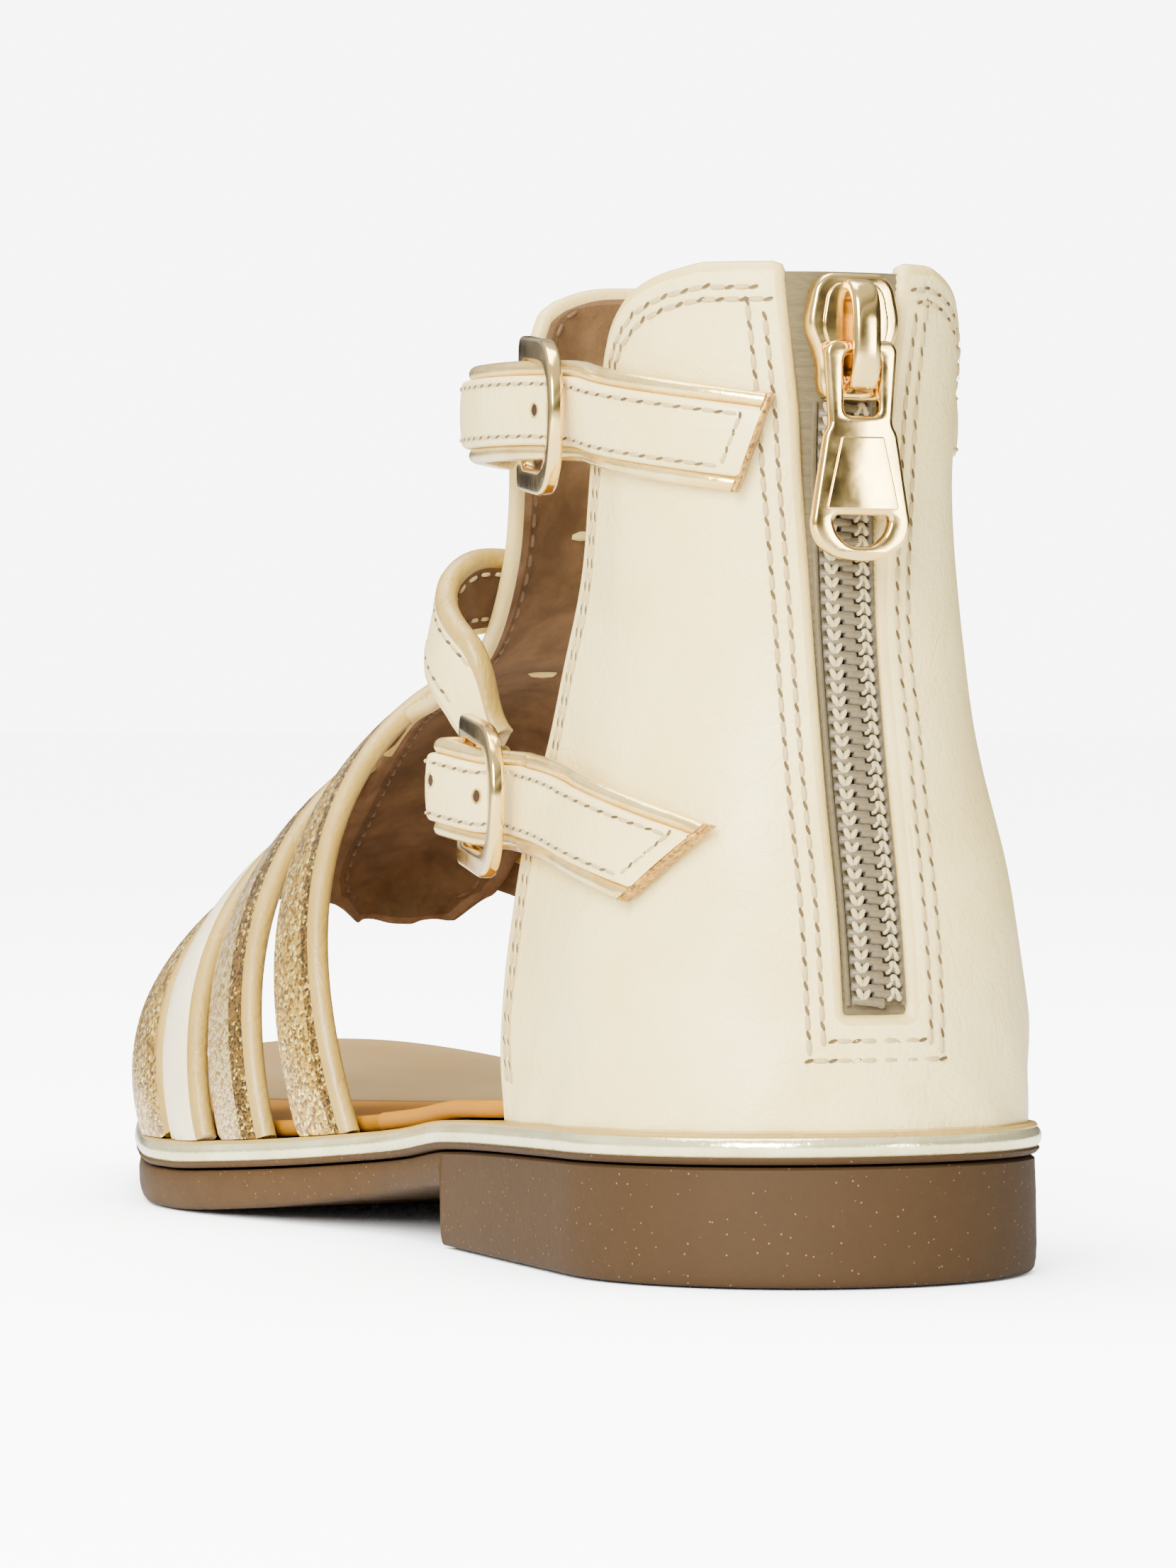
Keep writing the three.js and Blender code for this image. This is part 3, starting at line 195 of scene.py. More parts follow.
def sole_edge(side, y):
    share = y / SOLE_LENGTH
    outer = table_value(PLAN, share, 1) * BALL_WIDTH
    inner = table_value(PLAN, share, 2) * BALL_WIDTH
    reach = HEEL_WIDTH / 2
    heel = 1 if y >= reach else math.sqrt(max(0, 1 - (1 - y / reach) ** 2))
    toe_reach = TOE_ROUNDING * SOLE_LENGTH
    into = (y - (SOLE_LENGTH - toe_reach)) / toe_reach
    toe = 1 if into <= 0 else max(0, 1 - into ** TOE_FULLNESS) ** (1 / TOE_FULLNESS)
    return (inner - outer) / 2 + side * (inner + outer) / 2 * heel * toe


def sole_centre(y):
    return (sole_edge(LATERAL, y) + sole_edge(MEDIAL, y)) / 2


def outsole_top(y):
    return table_value(PROFILE, y / SOLE_LENGTH, 2) * HEEL_HEIGHT


def underside(y):
    if y <= HEEL_LENGTH:
        return 0
    return table_value(PROFILE, max(y / SOLE_LENGTH, HEEL_LENGTH / SOLE_LENGTH), 1) * HEEL_HEIGHT


def midsole_top(y):
    return outsole_top(y) + GAP + MIDSOLE_THICKNESS


def sole_stations():
    heel_end, toe_start = HEEL_WIDTH / 2, SOLE_LENGTH * (1 - TOE_ROUNDING)
    ys = [heel_end * (1 - math.cos(t * math.pi / 2)) for t in spread(20)]
    ys += [mix(heel_end, toe_start, t) for t in spread(64)[1:]]
    ys += [mix(toe_start, SOLE_LENGTH, math.sin(t * math.pi / 2)) for t in spread(24)[1:]]
    ys = [y for y in ys if abs(y - HEEL_LENGTH) > 0.9]
    return sorted(ys + [HEEL_LENGTH - 0.5, HEEL_LENGTH, HEEL_LENGTH + 0.25, HEEL_LENGTH + 0.8])


SOLE_YS = sole_stations()
OUTERMOST = min(sole_edge(LATERAL, y) for y in SOLE_YS)
INNERMOST = max(sole_edge(MEDIAL, y) for y in SOLE_YS)
MIDDLE_X = (OUTERMOST + INNERMOST) / 2


def sole_loop():
    """Points round the sole's plan with their spine points and outward directions."""
    spine_from, spine_to = HEEL_WIDTH / 2, SOLE_LENGTH * (1 - TOE_ROUNDING)
    order = [(LATERAL, y) for y in SOLE_YS] + [(MEDIAL, y) for y in reversed(SOLE_YS[1:-1])]
    loop = []
    for side, y in order:
        spine_y = min(max(y, spine_from), spine_to)
        loop.append([Vector((sole_edge(side, y), y)), Vector((sole_centre(spine_y), spine_y))])
    for i, item in enumerate(loop):
        ahead, behind = loop[(i + 1) % len(loop)][0], loop[i - 1][0]
        item.append(Vector((behind.y - ahead.y, ahead.x - behind.x)).normalized())
    return loop


SOLE_LOOP = sole_loop()


def sole_ring(kept, offset, height):
    """Ring round the sole, drawn in to its spine as kept falls to 0, at a height from y and edge y."""
    ring = []
    for edge, spine, out in SOLE_LOOP:
        move = offset(edge.y) if callable(offset) else offset
        flat = spine.lerp(edge + out * move, kept)
        ring.append(Vector((flat.x, flat.y, height(flat.y, edge.y))))
    return ring


# The back quarter's surface: round is the way from the middle of the heel

def quarter_row(z):
    return [table_value(QUARTER, z / SHAFT_HEIGHT, k) * HEEL_WIDTH for k in range(1, 6)]


def quarter_reach(z, side):
    back, half, _, outer, inner = quarter_row(z)
    front = (outer if side == LATERAL else inner) - back
    if front < half:
        return half * math.acos(1 - front / half)
    return half * math.pi / 2 + front - half


def quarter_plan(side, round_, z):
    back, half, lean, _, _ = quarter_row(z)
    turn = min(round_ / half, math.pi / 2)
    straight = max(0, round_ - half * math.pi / 2)
    return Vector((lean + side * half * math.sin(turn), back + half * (1 - math.cos(turn)) + straight, z))


def quarter_normal(side, round_, z):
    step = 0.4
    start = max(round_, step)
    across = quarter_plan(side, start + step, z) - quarter_plan(side, start - step, z)
    rise = quarter_plan(side, start, z + step) - quarter_plan(side, start, z - step)
    normal = across.cross(rise).normalized()
    if normal.x * side < 0:
        normal.negate()
    if round_ < step:
        normal.x = 0
    return normal.normalized()


def on_quarter(side, round_, z, offset=0.0):
    return quarter_plan(side, round_, z) + quarter_normal(side, round_, z) * offset


# Smooth lines and the bands that follow them

def centripetal(points, t):
    """Point at t, from 0 to 1, on the centripetal Catmull-Rom line through the points."""
    last = len(points) - 1
    at = t * last
    i = min(int(at), last - 1)
    w = at - i
    p1, p2 = points[i], points[i + 1]
    p0 = points[i - 1] if i > 0 else p1 * 2 - p2
    p3 = points[i + 2] if i + 2 <= last else p2 * 2 - p1
    d0, d1, d2 = [max((b - a).length, 1e-9) ** 0.5 for a, b in ((p0, p1), (p1, p2), (p2, p3))]
    m1 = ((p1 - p0) / d0 - (p2 - p0) / (d0 + d1) + (p2 - p1) / d1) * d1
    m2 = ((p2 - p1) / d1 - (p3 - p1) / (d1 + d2) + (p3 - p2) / d2) * d1
    c2 = p1 * -3 + p2 * 3 - m1 * 2 - m2
    c3 = p1 * 2 - p2 * 2 + m1 + m2
    return p1 + m1 * w + c2 * w * w + c3 * w ** 3


def stations_along(rows, count):
    """Places and width directions at even steps of the line through the rows."""
    places = [place for place, _ in rows]
    out = []
    for t in spread(count):
        at = t * (len(rows) - 1)
        low = min(int(at), len(rows) - 2)
        out.append((centripetal(places, t), rows[low][1].lerp(rows[low + 1][1], at - low).normalized()))
    return out


def band_axes(stations):
    """Along, wide and out directions at each station of a band."""
    axes = []
    for i, (_, across) in enumerate(stations):
        ahead = stations[min(i + 1, len(stations) - 1)][0]
        behind = stations[max(i - 1, 0)][0]
        along = (ahead - behind).normalized()
        wide = (across - along * across.dot(along)).normalized()
        axes.append((along, wide, wide.cross(along).normalized()))
    return axes


def rounded(width, thickness, radius, base=0.0, dome=0.0, shift=0.0, steps=4):
    """Section of a band with rounded edges: across from -width/2 + shift, out from base."""
    radius = min(radius, thickness / 2, width / 2)
    corners = [(1, 1, 0), (-1, 1, 90), (-1, -1, 180), (1, -1, 270)]
    points = []
    for sx, sy, start in corners:
        for t in spread(steps):
            turn = math.radians(start + 90 * t)
            a = sx * (width / 2 - radius) + radius * math.cos(turn)
            n = sy * (thickness / 2 - radius) + radius * math.sin(turn) + thickness / 2
            if n > thickness / 2:
                n += dome * (1 - (2 * a / width) ** 2)
            points.append((a + shift, n + base))
        if sx == sy:
            for t in spread(6)[1:-1]:
                a = sy * mix(width / 2 - radius, radius - width / 2, t)
                n = thickness / 2 + sy * thickness / 2
                if sy > 0:
                    n += dome * (1 - (2 * a / width) ** 2)
                points.append((a + shift, n + base))
    return points


def distances(stations):
    """Distance of each station along its band."""
    out = [0.0]
    for (place, _), (following, _) in zip(stations, stations[1:]):
        out.append(out[-1] + (following - place).length)
    return out


def band_rings(stations, section, slant=0.0):
    """Section of a band at each station; the slant of its first end fades along it."""
    rings = []
    for (place, _), (along, wide, out), gone in zip(stations, band_axes(stations), distances(stations)):
        lead = slant * max(0.0, 1 - gone / SLANT_FADE)
        rings.append([place + wide * a + out * n - along * (lead * a) for a, n in section])
    return rings


def on_band(stations, axes, distance, a, n):
    """Point at a distance along a band, a across it and n out of it, with its directions."""
    gone = distances(stations)
    i = next((i for i in range(len(stations) - 2) if gone[i + 1] >= distance), len(stations) - 2)
    w = (distance - gone[i]) / (gone[i + 1] - gone[i])
    along, wide, out = [axes[i][k].lerp(axes[i + 1][k], w).normalized() for k in range(3)]
    place = stations[i][0].lerp(stations[i + 1][0], w)
    return place + wide * a + out * n, along, wide, out


# Materials: colours are sRGB hex codes and sizes millimetres

def hexa(value):
    """Linear colour of an sRGB hex code."""
    channels = [int(value[i:i + 2], 16) / 255 for i in (0, 2, 4)]
    return [c / 12.92 if c <= 0.04045 else ((c + 0.055) / 1.055) ** 2.4 for c in channels] + [1.0]


class Finish:
    """A material and its shader, with one function that adds a node with settings and links."""

    def __init__(self, name, colour, roughness, **sockets):
        self.material = bpy.data.materials.new(name)
        self.material.use_nodes = True
        self.tree = self.material.node_tree
        self.shader = self.tree.nodes["Principled BSDF"]
        self.set("Base Color", hexa(colour))
        self.set("Roughness", roughness)
        for key, value in sockets.items():
            self.set(key.replace("_", " "), value)
        self.coords = self.node("ShaderNodeTexCoord")
        self.material.diffuse_color = hexa(colour)

    def set(self, socket, value):
        self.shader.inputs[socket].default_value = value

    def node(self, kind, settings=None, **links):
        """Node with settings by name, and links to inputs by name or, as i0, by number."""
        made = self.tree.nodes.new(kind)
        for key, value in (settings or {}).items():
            if key in made.inputs:
                made.inputs[key].default_value = value
            else:
                setattr(made, key, value)
        for key, source in links.items():
            numbered = key[0] == "i" and key[1:].isdigit()
            self.tree.links.new(source, made.inputs[int(key[1:]) if numbered else key])
        return made

    def link(self, source, socket):
        self.tree.links.new(source, self.shader.inputs[socket])

    def place_parts(self):
        return self.node("ShaderNodeSeparateXYZ", i0=self.coords.outputs["Object"]).outputs

    def cells(self, size, **settings):
        """Cells about size millimetres across."""
        per = 1000 / size
        where = self.scaled(per, per, per)
        return self.node("ShaderNodeTexVoronoi", {"Scale": 1.0, **settings}, Vector=where)

    def patches(self, noise, low, high, most=1.0):
        """Noise turned to spots: 0 below low, and the most above high."""
        return self.ramp(noise, [(low, 0.0), (high, most)])

    def scaled(self, x, y, z):
        """Object coordinates, in cells per metre along each axis."""
        return self.node("ShaderNodeMapping", {"Scale": (x, y, z)},
                         Vector=self.coords.outputs["Object"]).outputs[0]

    def noise(self, size, detail=3.0, roughness=0.55, stretch=(1, 1, 1), distortion=0.0):
        """Noise whose spots are about size millimetres across."""
        per = 1000 / size
        where = self.scaled(per * stretch[0], per * stretch[1], per * stretch[2])
        settings = {"Scale": 1.0, "Detail": detail, "Roughness": roughness, "Distortion": distortion}
        return self.node("ShaderNodeTexNoise", settings, Vector=where).outputs["Fac"]

    def ramp(self, factor, stops):
        made = self.node("ShaderNodeValToRGB", i0=factor)
        elements = made.color_ramp.elements
        while len(elements) < len(stops):
            elements.new(0.5)
        for element, (position, colour) in zip(elements, stops):
            element.position = position
            element.color = hexa(colour) if isinstance(colour, str) else (colour, colour, colour, 1)
        return made.outputs["Color"]

    def math(self, operation, *terms):
        made = self.node("ShaderNodeMath", {"operation": operation})
        for k, value in enumerate(terms):
            if isinstance(value, (int, float)):
                made.inputs[k].default_value = value
            else:
                self.tree.links.new(value, made.inputs[k])
        return made.outputs[0]

    def blend(self, factor, a, b):
        made = self.node("ShaderNodeMix", {"data_type": "RGBA"}, i0=factor)
        for socket, value in ((6, a), (7, b)):
            if isinstance(value, str):
                made.inputs[socket].default_value = hexa(value)
            else:
                self.tree.links.new(value, made.inputs[socket])
        return made.outputs[2]

    def bump(self, height, depth, strength):
        """Bump of a height from 0 to 1 over a depth in millimetres."""
        made = self.node("ShaderNodeBump", {"Strength": strength, "Distance": depth / 1000}, Height=height)
        self.link(made.outputs[0], "Normal")


# Meshes: points are gathered in millimetres and placed in the frame at the end

class Shape:
    """Points and faces of one piece, each face with the number of its finish."""

    def __init__(self):
        self.points = []
        self.faces = []
        self.marks = []

    def add(self, points, faces, mark=0):
        base = len(self.points)
        self.points += points
        self.faces += [[base + i for i in face] for face in faces]
        self.marks += [mark] * len(faces)

    def loft(self, rings, mark=0, caps=(0, 0), ring_marks=None):
        """Skin through closed rings, with a fan at each end that has a cap."""
        count = len(rings[0])
        base = len(self.points)
        self.points += [p for ring in rings for p in ring]
        for i in range(len(rings) - 1):
            for j in range(count):
                k = (j + 1) % count
                low, high = base + i * count, base + (i + 1) * count
                self.faces.append([low + j, low + k, high + k, high + j])
                self.marks.append(ring_marks[j] if ring_marks else mark)
        for ring_index, cap in ((0, caps[0]), (len(rings) - 1, caps[1])):
            if cap is None:
                continue
            ring = rings[ring_index]
            centre = len(self.points)
            self.points.append(sum(ring, Vector()) / count)
            start = base + ring_index * count
            for j in range(count):
                self.faces.append([start + j, start + (j + 1) % count, centre])
                self.marks.append(cap)

    def shell(self, outer, inner, faces, bulge, marks=(0, 1, 2), steps=5, inner_marks=None):
        """Sheet of leather between two skins, closed by a rounded rim round every edge."""
        used = {}
        for face in faces:
            for a, b in zip(face, face[1:] + face[:1]):
                used.setdefault((min(a, b), max(a, b)), []).append((a, b, face))
        rims = [rows[0] for rows in used.values() if len(rows) == 1]
        away = {}
        for a, b, face in rims:
            middle = sum((outer[i] for i in face), Vector()) / len(face)
            line = (outer[b] - outer[a]).normalized()
            out = (outer[a] + outer[b]) / 2 - middle
            out = (out - line * out.dot(line)).normalized()
            for i in (a, b):
                away[i] = away.get(i, Vector()) + out
        base = len(self.points)
        self.points += list(outer) + list(inner)
        count = len(outer)
        for k, face in enumerate(faces):
            self.faces.append([base + i for i in face])
            self.marks.append(marks[0])
            self.faces.append([base + count + i for i in reversed(face)])
            self.marks.append(inner_marks[k] if inner_marks else marks[1])
        columns = {}
        for i, out in away.items():
            out = out.normalized()
            middle = (outer[i] + inner[i]) / 2
            half = outer[i] - middle
            column = [base + i]
            for turn in [t * math.pi for t in spread(steps)[1:-1]]:
                self.points.append(middle + half * math.cos(turn) + out * bulge * math.sin(turn))
                column.append(len(self.points) - 1)
            columns[i] = column + [base + count + i]
        for a, b, _ in rims:
            for k in range(steps):
                self.faces.append([columns[b][k], columns[a][k], columns[a][k + 1], columns[b][k + 1]])
                self.marks.append(marks[2])

    def bead(self, centre, along, out, length, width, height, mark=0):
        """Stitch or tooth: a low rounded bar lying on a surface."""
        wide = out.cross(along).normalized()
        rings = []
        for at, size in ((-0.5, 0.3), (-0.36, 0.85), (0, 1), (0.36, 0.85), (0.5, 0.3)):
            middle = centre + along * (at * length) - out * (height * 0.35 * (1 - size))
            rings.append(oval(middle, wide * (width / 2 * size), out * (height * size), 6))
        self.loft(rings, mark, (mark, mark))

    def dash(self, centre, along, out, radius, length, mark=0, sides=8):
        """Short needle mark lying on a surface, its middle pressed in; its dark finish is painted shade of
        the needle hole.
        """
        first = (along - out * along.dot(out)).normalized()
        second = out.cross(first)
        ring = oval(centre, first * (length / 2), second * radius, sides)
        self.add([*ring, centre - out * 0.04], fan_faces(sides), mark)


def in_frame(p):
    """Point in the shared frame, in metres."""
    return ((p.x - MIDDLE_X) / 1000, (p.y - SOLE_LENGTH / 2) / 1000, p.z / 1000)


def make_piece(name, shape, finishes, sharp, body="sandal", replaces=None):
    """Visible piece of a shape with its finishes, on its body; edges past sharp degrees stay crisp."""
    mesh = bpy.data.meshes.new(name)
    mesh.from_pydata([in_frame(p) for p in shape.points], [], shape.faces)
    for finish in finishes:
        mesh.materials.append(finish)
    mesh.polygons.foreach_set("material_index", shape.marks)
    work = bmesh.new()
    work.from_mesh(mesh)
    bmesh.ops.remove_doubles(work, verts=work.verts, dist=1e-6)
    bmesh.ops.dissolve_degenerate(work, dist=1e-7, edges=work.edges)
    bmesh.ops.recalc_face_normals(work, faces=work.faces)
    work.to_mesh(mesh)
    work.free()
    mesh.polygons.foreach_set("use_smooth", [True] * len(mesh.polygons))
    mesh.set_sharp_from_angle(angle=math.radians(sharp))
    made = bpy.data.objects.new(name, mesh)
    bpy.context.scene.collection.objects.link(made)
    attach(made, body)
    if replaces:
        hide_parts(replaces)


def plate_mesh(outlines, thickness, bevel, basis, origin):
    """Mesh of a flat plate with holes and rounded edges, placed by its three axes."""
    curve = bpy.data.curves.new("outline", "CURVE")
    curve.dimensions = "2D"
    curve.fill_mode = "BOTH"
    curve.extrude = thickness / 2 - bevel
    curve.bevel_depth = bevel
    curve.bevel_resolution = 3
    curve.offset = -bevel
    for outline in outlines:
        spline = curve.splines.new("POLY")
        spline.points.add(len(outline) - 1)
        for point, (a, b) in zip(spline.points, outline):
            point.co = (a, b, 0, 1)
        spline.use_cyclic_u = True
    made = bpy.data.objects.new("outline", curve)
    bpy.context.scene.collection.objects.link(made)
    bpy.context.view_layer.update()
    mesh = bpy.data.meshes.new_from_object(made.evaluated_get(bpy.context.evaluated_depsgraph_get()))
    bpy.data.objects.remove(made)
    first, second, third = basis
    points = [origin + first * v.co.x + second * v.co.y + third * v.co.z for v in mesh.vertices]
    faces = [list(p.vertices) for p in mesh.polygons]
    bpy.data.meshes.remove(mesh)
    return points, faces


def soft_corner(points, radius, steps=4):
    """Outline with its corners rounded."""
    out = []
    count = len(points)
    for i, p in enumerate(points):
        here = Vector(p)
        before, after = Vector(points[i - 1]), Vector(points[(i + 1) % count])
        cut = min(radius, (before - here).length * 0.45, (after - here).length * 0.45)
        start = here + (before - here).normalized() * cut
        end = here + (after - here).normalized() * cut
        for t in spread(steps):
            out.append(tuple(start * (1 - t) ** 2 + here * (2 * t * (1 - t)) + end * t * t))
    return out


# Finishes, each named for the real material, but the needle-hole and punched-hole finishes are painted
# shade

def leather(name, colour, shade, roughness, grain=0.5, crease=0.12, coat=0.25):
    """Dyed smooth leather: a fine pebbled grain, faint creases and slightly uneven colour."""
    made = Finish(name, colour, roughness, Coat_Weight=coat, Coat_Roughness=0.3, IOR=1.5)
    cells = made.cells(grain, feature="SMOOTH_F1", Smoothness=0.6).outputs["Distance"]
    folds = made.noise(9, detail=5, roughness=0.6, distortion=0.6)
    creases = made.ramp(folds, [(0.44, 1.0), (0.5, 0.0), (0.56, 1.0)])
    height = made.math("ADD", made.math("MULTIPLY", cells, 0.5), made.math("MULTIPLY", creases, crease * 4))
    made.bump(height, 0.14, 0.75)
    made.link(made.blend(made.patches(made.noise(14, detail=4), 0.3, 0.75), colour, shade), "Base Color")
    made.link(made.math("MULTIPLY_ADD", made.noise(4), 0.16, roughness - 0.06), "Roughness")
    return made.material


def suede(name, colour, shade):
    """Split leather: a dull nap that scatters light and is mottled where it was brushed."""
    made = Finish(name, colour, 0.95, Sheen_Weight=0.04, Specular_IOR_Level=0.1)
    nap = made.noise(0.45, detail=6, roughness=0.7)
    brushed = made.noise(6, detail=5, distortion=0.3)
    made.link(made.blend(made.patches(brushed, 0.35, 0.65), colour, shade), "Base Color")
    made.bump(made.math("ADD", nap, made.math("MULTIPLY", brushed, 0.4)), 0.2, 0.8)
    return made.material


def foil_leather(name, colour, shade, roughness, patch=5):
    """Leather under a metal foil: bright, with the fine wrinkles that foil takes over grain."""
    made = Finish(name, colour, roughness, Metallic=0.72, Coat_Weight=0.3, Coat_Roughness=0.12)
    wrinkles = made.noise(1.1, detail=5, roughness=0.6, distortion=0.4)
    fine = made.noise(0.35, detail=3)
    made.bump(made.math("ADD", wrinkles, made.math("MULTIPLY", fine, 0.35)), 0.12, 0.55)
    made.link(made.blend(made.patches(made.noise(patch), 0.35, 0.7), colour, shade), "Base Color")
    return made.material


def glitter_leather(name, pale, deep, fleck, size=0.42):
    """Leather strewn with glitter: flat flakes that face all ways, drawn a little coarse to show."""
    made = Finish(name, pale, 0.3, Metallic=0.75, Coat_Weight=0.4, Coat_Roughness=0.1)
    flakes = made.cells(size)
    parts = made.node("ShaderNodeSeparateColor", i0=flakes.outputs["Color"])
    tone = made.blend(made.patches(parts.outputs[0], 0.25, 0.6), deep, pale)
    made.link(made.blend(made.patches(parts.outputs[1], 0.84, 0.9), tone, fleck), "Base Color")
    made.link(made.ramp(parts.outputs[2], [(0.0, 0.16), (1.0, 0.5)]), "Roughness")
    tilt = made.math("ADD", parts.outputs[2], made.math("MULTIPLY", flakes.outputs["Distance"], -0.6))
    made.bump(tilt, 0.16, 0.9)
    return made.material


def polished_metal(name, colour):
    """Plated zinc, polished: a mirror finish softened by wear too fine to see as scratches."""
    made = Finish(name, colour, 0.14, Metallic=1.0)
    made.link(made.ramp(made.noise(2.5, detail=4), [(0.3, 0.09), (0.8, 0.24)]), "Roughness")
    made.link(made.blend(made.noise(6), colour, "E3C276"), "Base Color")
    made.bump(made.noise(1.6, detail=2), 0.02, 0.4)
    return made.material


def moulded_rubber(name, fore, heel, speck):
    """Moulded rubber with cork dust: matt, speckled, darker at the heel block."""
    made = Finish(name, fore, 0.7, Specular_IOR_Level=0.16)
    along = made.place_parts()[1]
    place = made.math("MULTIPLY_ADD", along, 12.0, 0.85)
    base = made.ramp(place, [(0.1, heel), (0.8, fore)])
    mixed = made.blend(made.patches(made.noise(3.2, detail=5), 0.35, 0.8, 0.4), base, "33230F")
    specks = made.ramp(made.cells(1 / 1.1).outputs["Distance"], [(0.06, 0.8), (0.12, 0.0)])
    made.link(made.blend(specks, mixed, speck), "Base Color")
    made.bump(made.math("ADD", made.noise(0.7, detail=4), made.math("MULTIPLY", specks, 0.4)), 0.1, 0.5)
    return made.material


def footbed_leather(name, heel, fore, line_y):
    """Smooth footbed leather: tan at the heel, a greyer brown beyond a darker line across it at line_y."""
    made = Finish(name, heel, 0.62, Specular_IOR_Level=0.12)
    where = made.place_parts()
    slope, dark_line, dark_line_width = 0.42, "5F4726", 2.5
    along = made.math("MULTIPLY_ADD", where[0], slope, where[1])
    place = made.math("MULTIPLY_ADD", along, 1000 / dark_line_width, 0.5 - line_y / dark_line_width)
    base = made.ramp(place, [(0.0, heel), (0.25, dark_line), (0.75, dark_line), (1.0, fore)])
    worn = made.patches(made.noise(11, detail=5), 0.35, 0.8, 0.35)
    made.link(made.blend(worn, base, "8A5A12"), "Base Color")
    grain = made.noise(0.5, detail=3)
    made.bump(made.math("ADD", grain, made.math("MULTIPLY", made.noise(6), 0.7)), 0.08, 0.5)
    return made.material


def woven_tape(name, colour, shade):
    """Polyester tape, woven: fine cross ribs with darker yarns between them."""
    made = Finish(name, colour, 0.85, Sheen_Weight=0.2)
    ribs = made.node("ShaderNodeTexWave", {"bands_direction": "Z", "Scale": 1.0, "Distortion": 0.4},
                     Vector=made.scaled(1000 / 3.8, 1000 / 3.8, 1000 / 3.8)).outputs["Fac"]
    yarns = made.noise(0.5, detail=4, stretch=(0.4, 0.4, 2.2))
    made.link(made.blend(yarns, colour, shade), "Base Color")
    made.bump(made.math("ADD", ribs, yarns), 0.12, 0.7)
    return made.material


def spun_thread(name, colour, shade, roughness=0.6):
    """Thread or coil of a smooth fibre: soft gloss, its twist too fine to show but as colour."""
    made = Finish(name, colour, roughness, Sheen_Weight=0.15)
    made.link(made.blend(made.noise(0.5, detail=3), colour, shade), "Base Color")
    made.bump(made.noise(0.3, detail=3), 0.05, 0.5)
    return made.material


CREAM = leather("cream dyed leather", "EFDB97", "E3CA7B", 0.44)
CREAM_EDGE = leather("folded cream leather edge", "DDC57C", "C9AB5A", 0.48, crease=0.05)
ROLLED_EDGE = leather("rolled beige leather", "AA8B3E", "8F732A", 0.42, grain=0.7)
LINING_SMOOTH = leather("smooth beige lining leather", "C9AE78", "B4965E", 0.55)
LINING = suede("brown suede lining", "735738", "594126")
LINING_EDGE = suede("paler brushed suede", "87694A", "6B5032")
CUT_EDGE = foil_leather("gilded cut edge", "CC9A3C", "3F2206", 0.42, patch=0.5)
FOIL_GOLD = foil_leather("pale gold foil leather", "F0D88E", "DCB962", 0.2)
FOIL_RAND = foil_leather("pale gold foil rand", "F4EEBC", "DED396", 0.16)
GLITTER = glitter_leather("gold glitter leather", "D0A640", "7E5C16", "FFE892")
GLITTER_PALE = glitter_leather("pale iridescent glitter leather", "DFC880", "AC8D46", "F2BCB4")
GLITTER_DARK = glitter_leather("dark gold glitter leather", "86621A", "44300A", "E6C458", 0.36)
SATIN = leather("white satin-finished leather", "F6E9C2", "E8D7A4", 0.36, grain=0.7, coat=0.45)
RUBBER = moulded_rubber("moulded brown rubber", "45311A", "382713", "8A6A44")
FOOTBED = footbed_leather("tan footbed leather", "9C670C", "86704A", 50.0)
TAPE = woven_tape("woven greige tape", "6A5C3A", "43381C")
COIL = spun_thread("moulded nylon coil", "6E6040", "4A3F26", 0.42)
COIL_STITCH = spun_thread("cream chain stitch", "C2B080", "9E8B58")
THREAD = spun_thread("cream polyester thread", "BFA96F", "A18B54", 0.5)
BROWN_THREAD = spun_thread("brown thread", "6E4E2A", "523818", 0.6)
# Painted shade: the dark of needle holes between stitches, drawn as flat dashes
NEEDLE_HOLE_SHADE = suede("painted needle hole shade", "6A573A", "524127")
# Painted shade: the dark inside punched holes, drawn as flat discs
PUNCHED_HOLE_SHADE = suede("painted punched hole shade", "3A2816", "281A0D")
GOLD = polished_metal("polished gold-plated zinc", "EFCD80")


# Camera: the photograph's own viewpoint, turned to the one shoe

VIEW_TURN = math.radians(23)
VIEW_DISTANCE = 650
VIEW_SIDE = -2.3
VIEW_HEIGHT = 57
FOCAL_PIXELS = 6630
FRAME_WIDTH = 1659
SENSOR_WIDTH = 36
SHOE_MIDDLE = (510, 1186)
FRAME_MIDDLE = (829.5, 1105)
CLOSER = 1.42

right = Vector((math.cos(VIEW_TURN), -math.sin(VIEW_TURN), 0))
ahead = Vector((math.sin(VIEW_TURN), math.cos(VIEW_TURN), 0))
eye = ahead * -VIEW_DISTANCE - right * VIEW_SIDE + UP * VIEW_HEIGHT
look = (ahead * FOCAL_PIXELS + right * (SHOE_MIDDLE[0] - FRAME_MIDDLE[0])
        + UP * (FRAME_MIDDLE[1] - SHOE_MIDDLE[1]))

lens = bpy.data.cameras.new("camera")
lens.sensor_fit = "HORIZONTAL"
lens.sensor_width = SENSOR_WIDTH
lens.lens = FOCAL_PIXELS / FRAME_WIDTH * SENSOR_WIDTH * CLOSER
lens.clip_start = 0.01
camera = bpy.data.objects.new("camera", lens)
bpy.context.scene.collection.objects.link(camera)
camera.location = in_frame(eye)
camera.rotation_euler = look.to_track_quat("-Z", "Y").to_euler()
bpy.context.scene.camera = camera


# Sole: outsole, foil rand and footbed

TREAD_DEPTH = 0.45
TREAD_PITCH = 2.4
FOREFOOT_FROM = 88
OUTSOLE_EDGE = [(-0.7, 0.0), (-0.22, 0.12), (0.0, 0.4), (0.14, 1.2), (0.2, 2.6)]


def tread(y, _):
    """Underside with every third rib cut away where it stands on the floor."""
    on_floor = y < HEEL_LENGTH - 4 or y > FOREFOOT_FROM
    return underside(y) + (TREAD_DEPTH if on_floor and int(y / TREAD_PITCH) % 3 == 0 else 0)


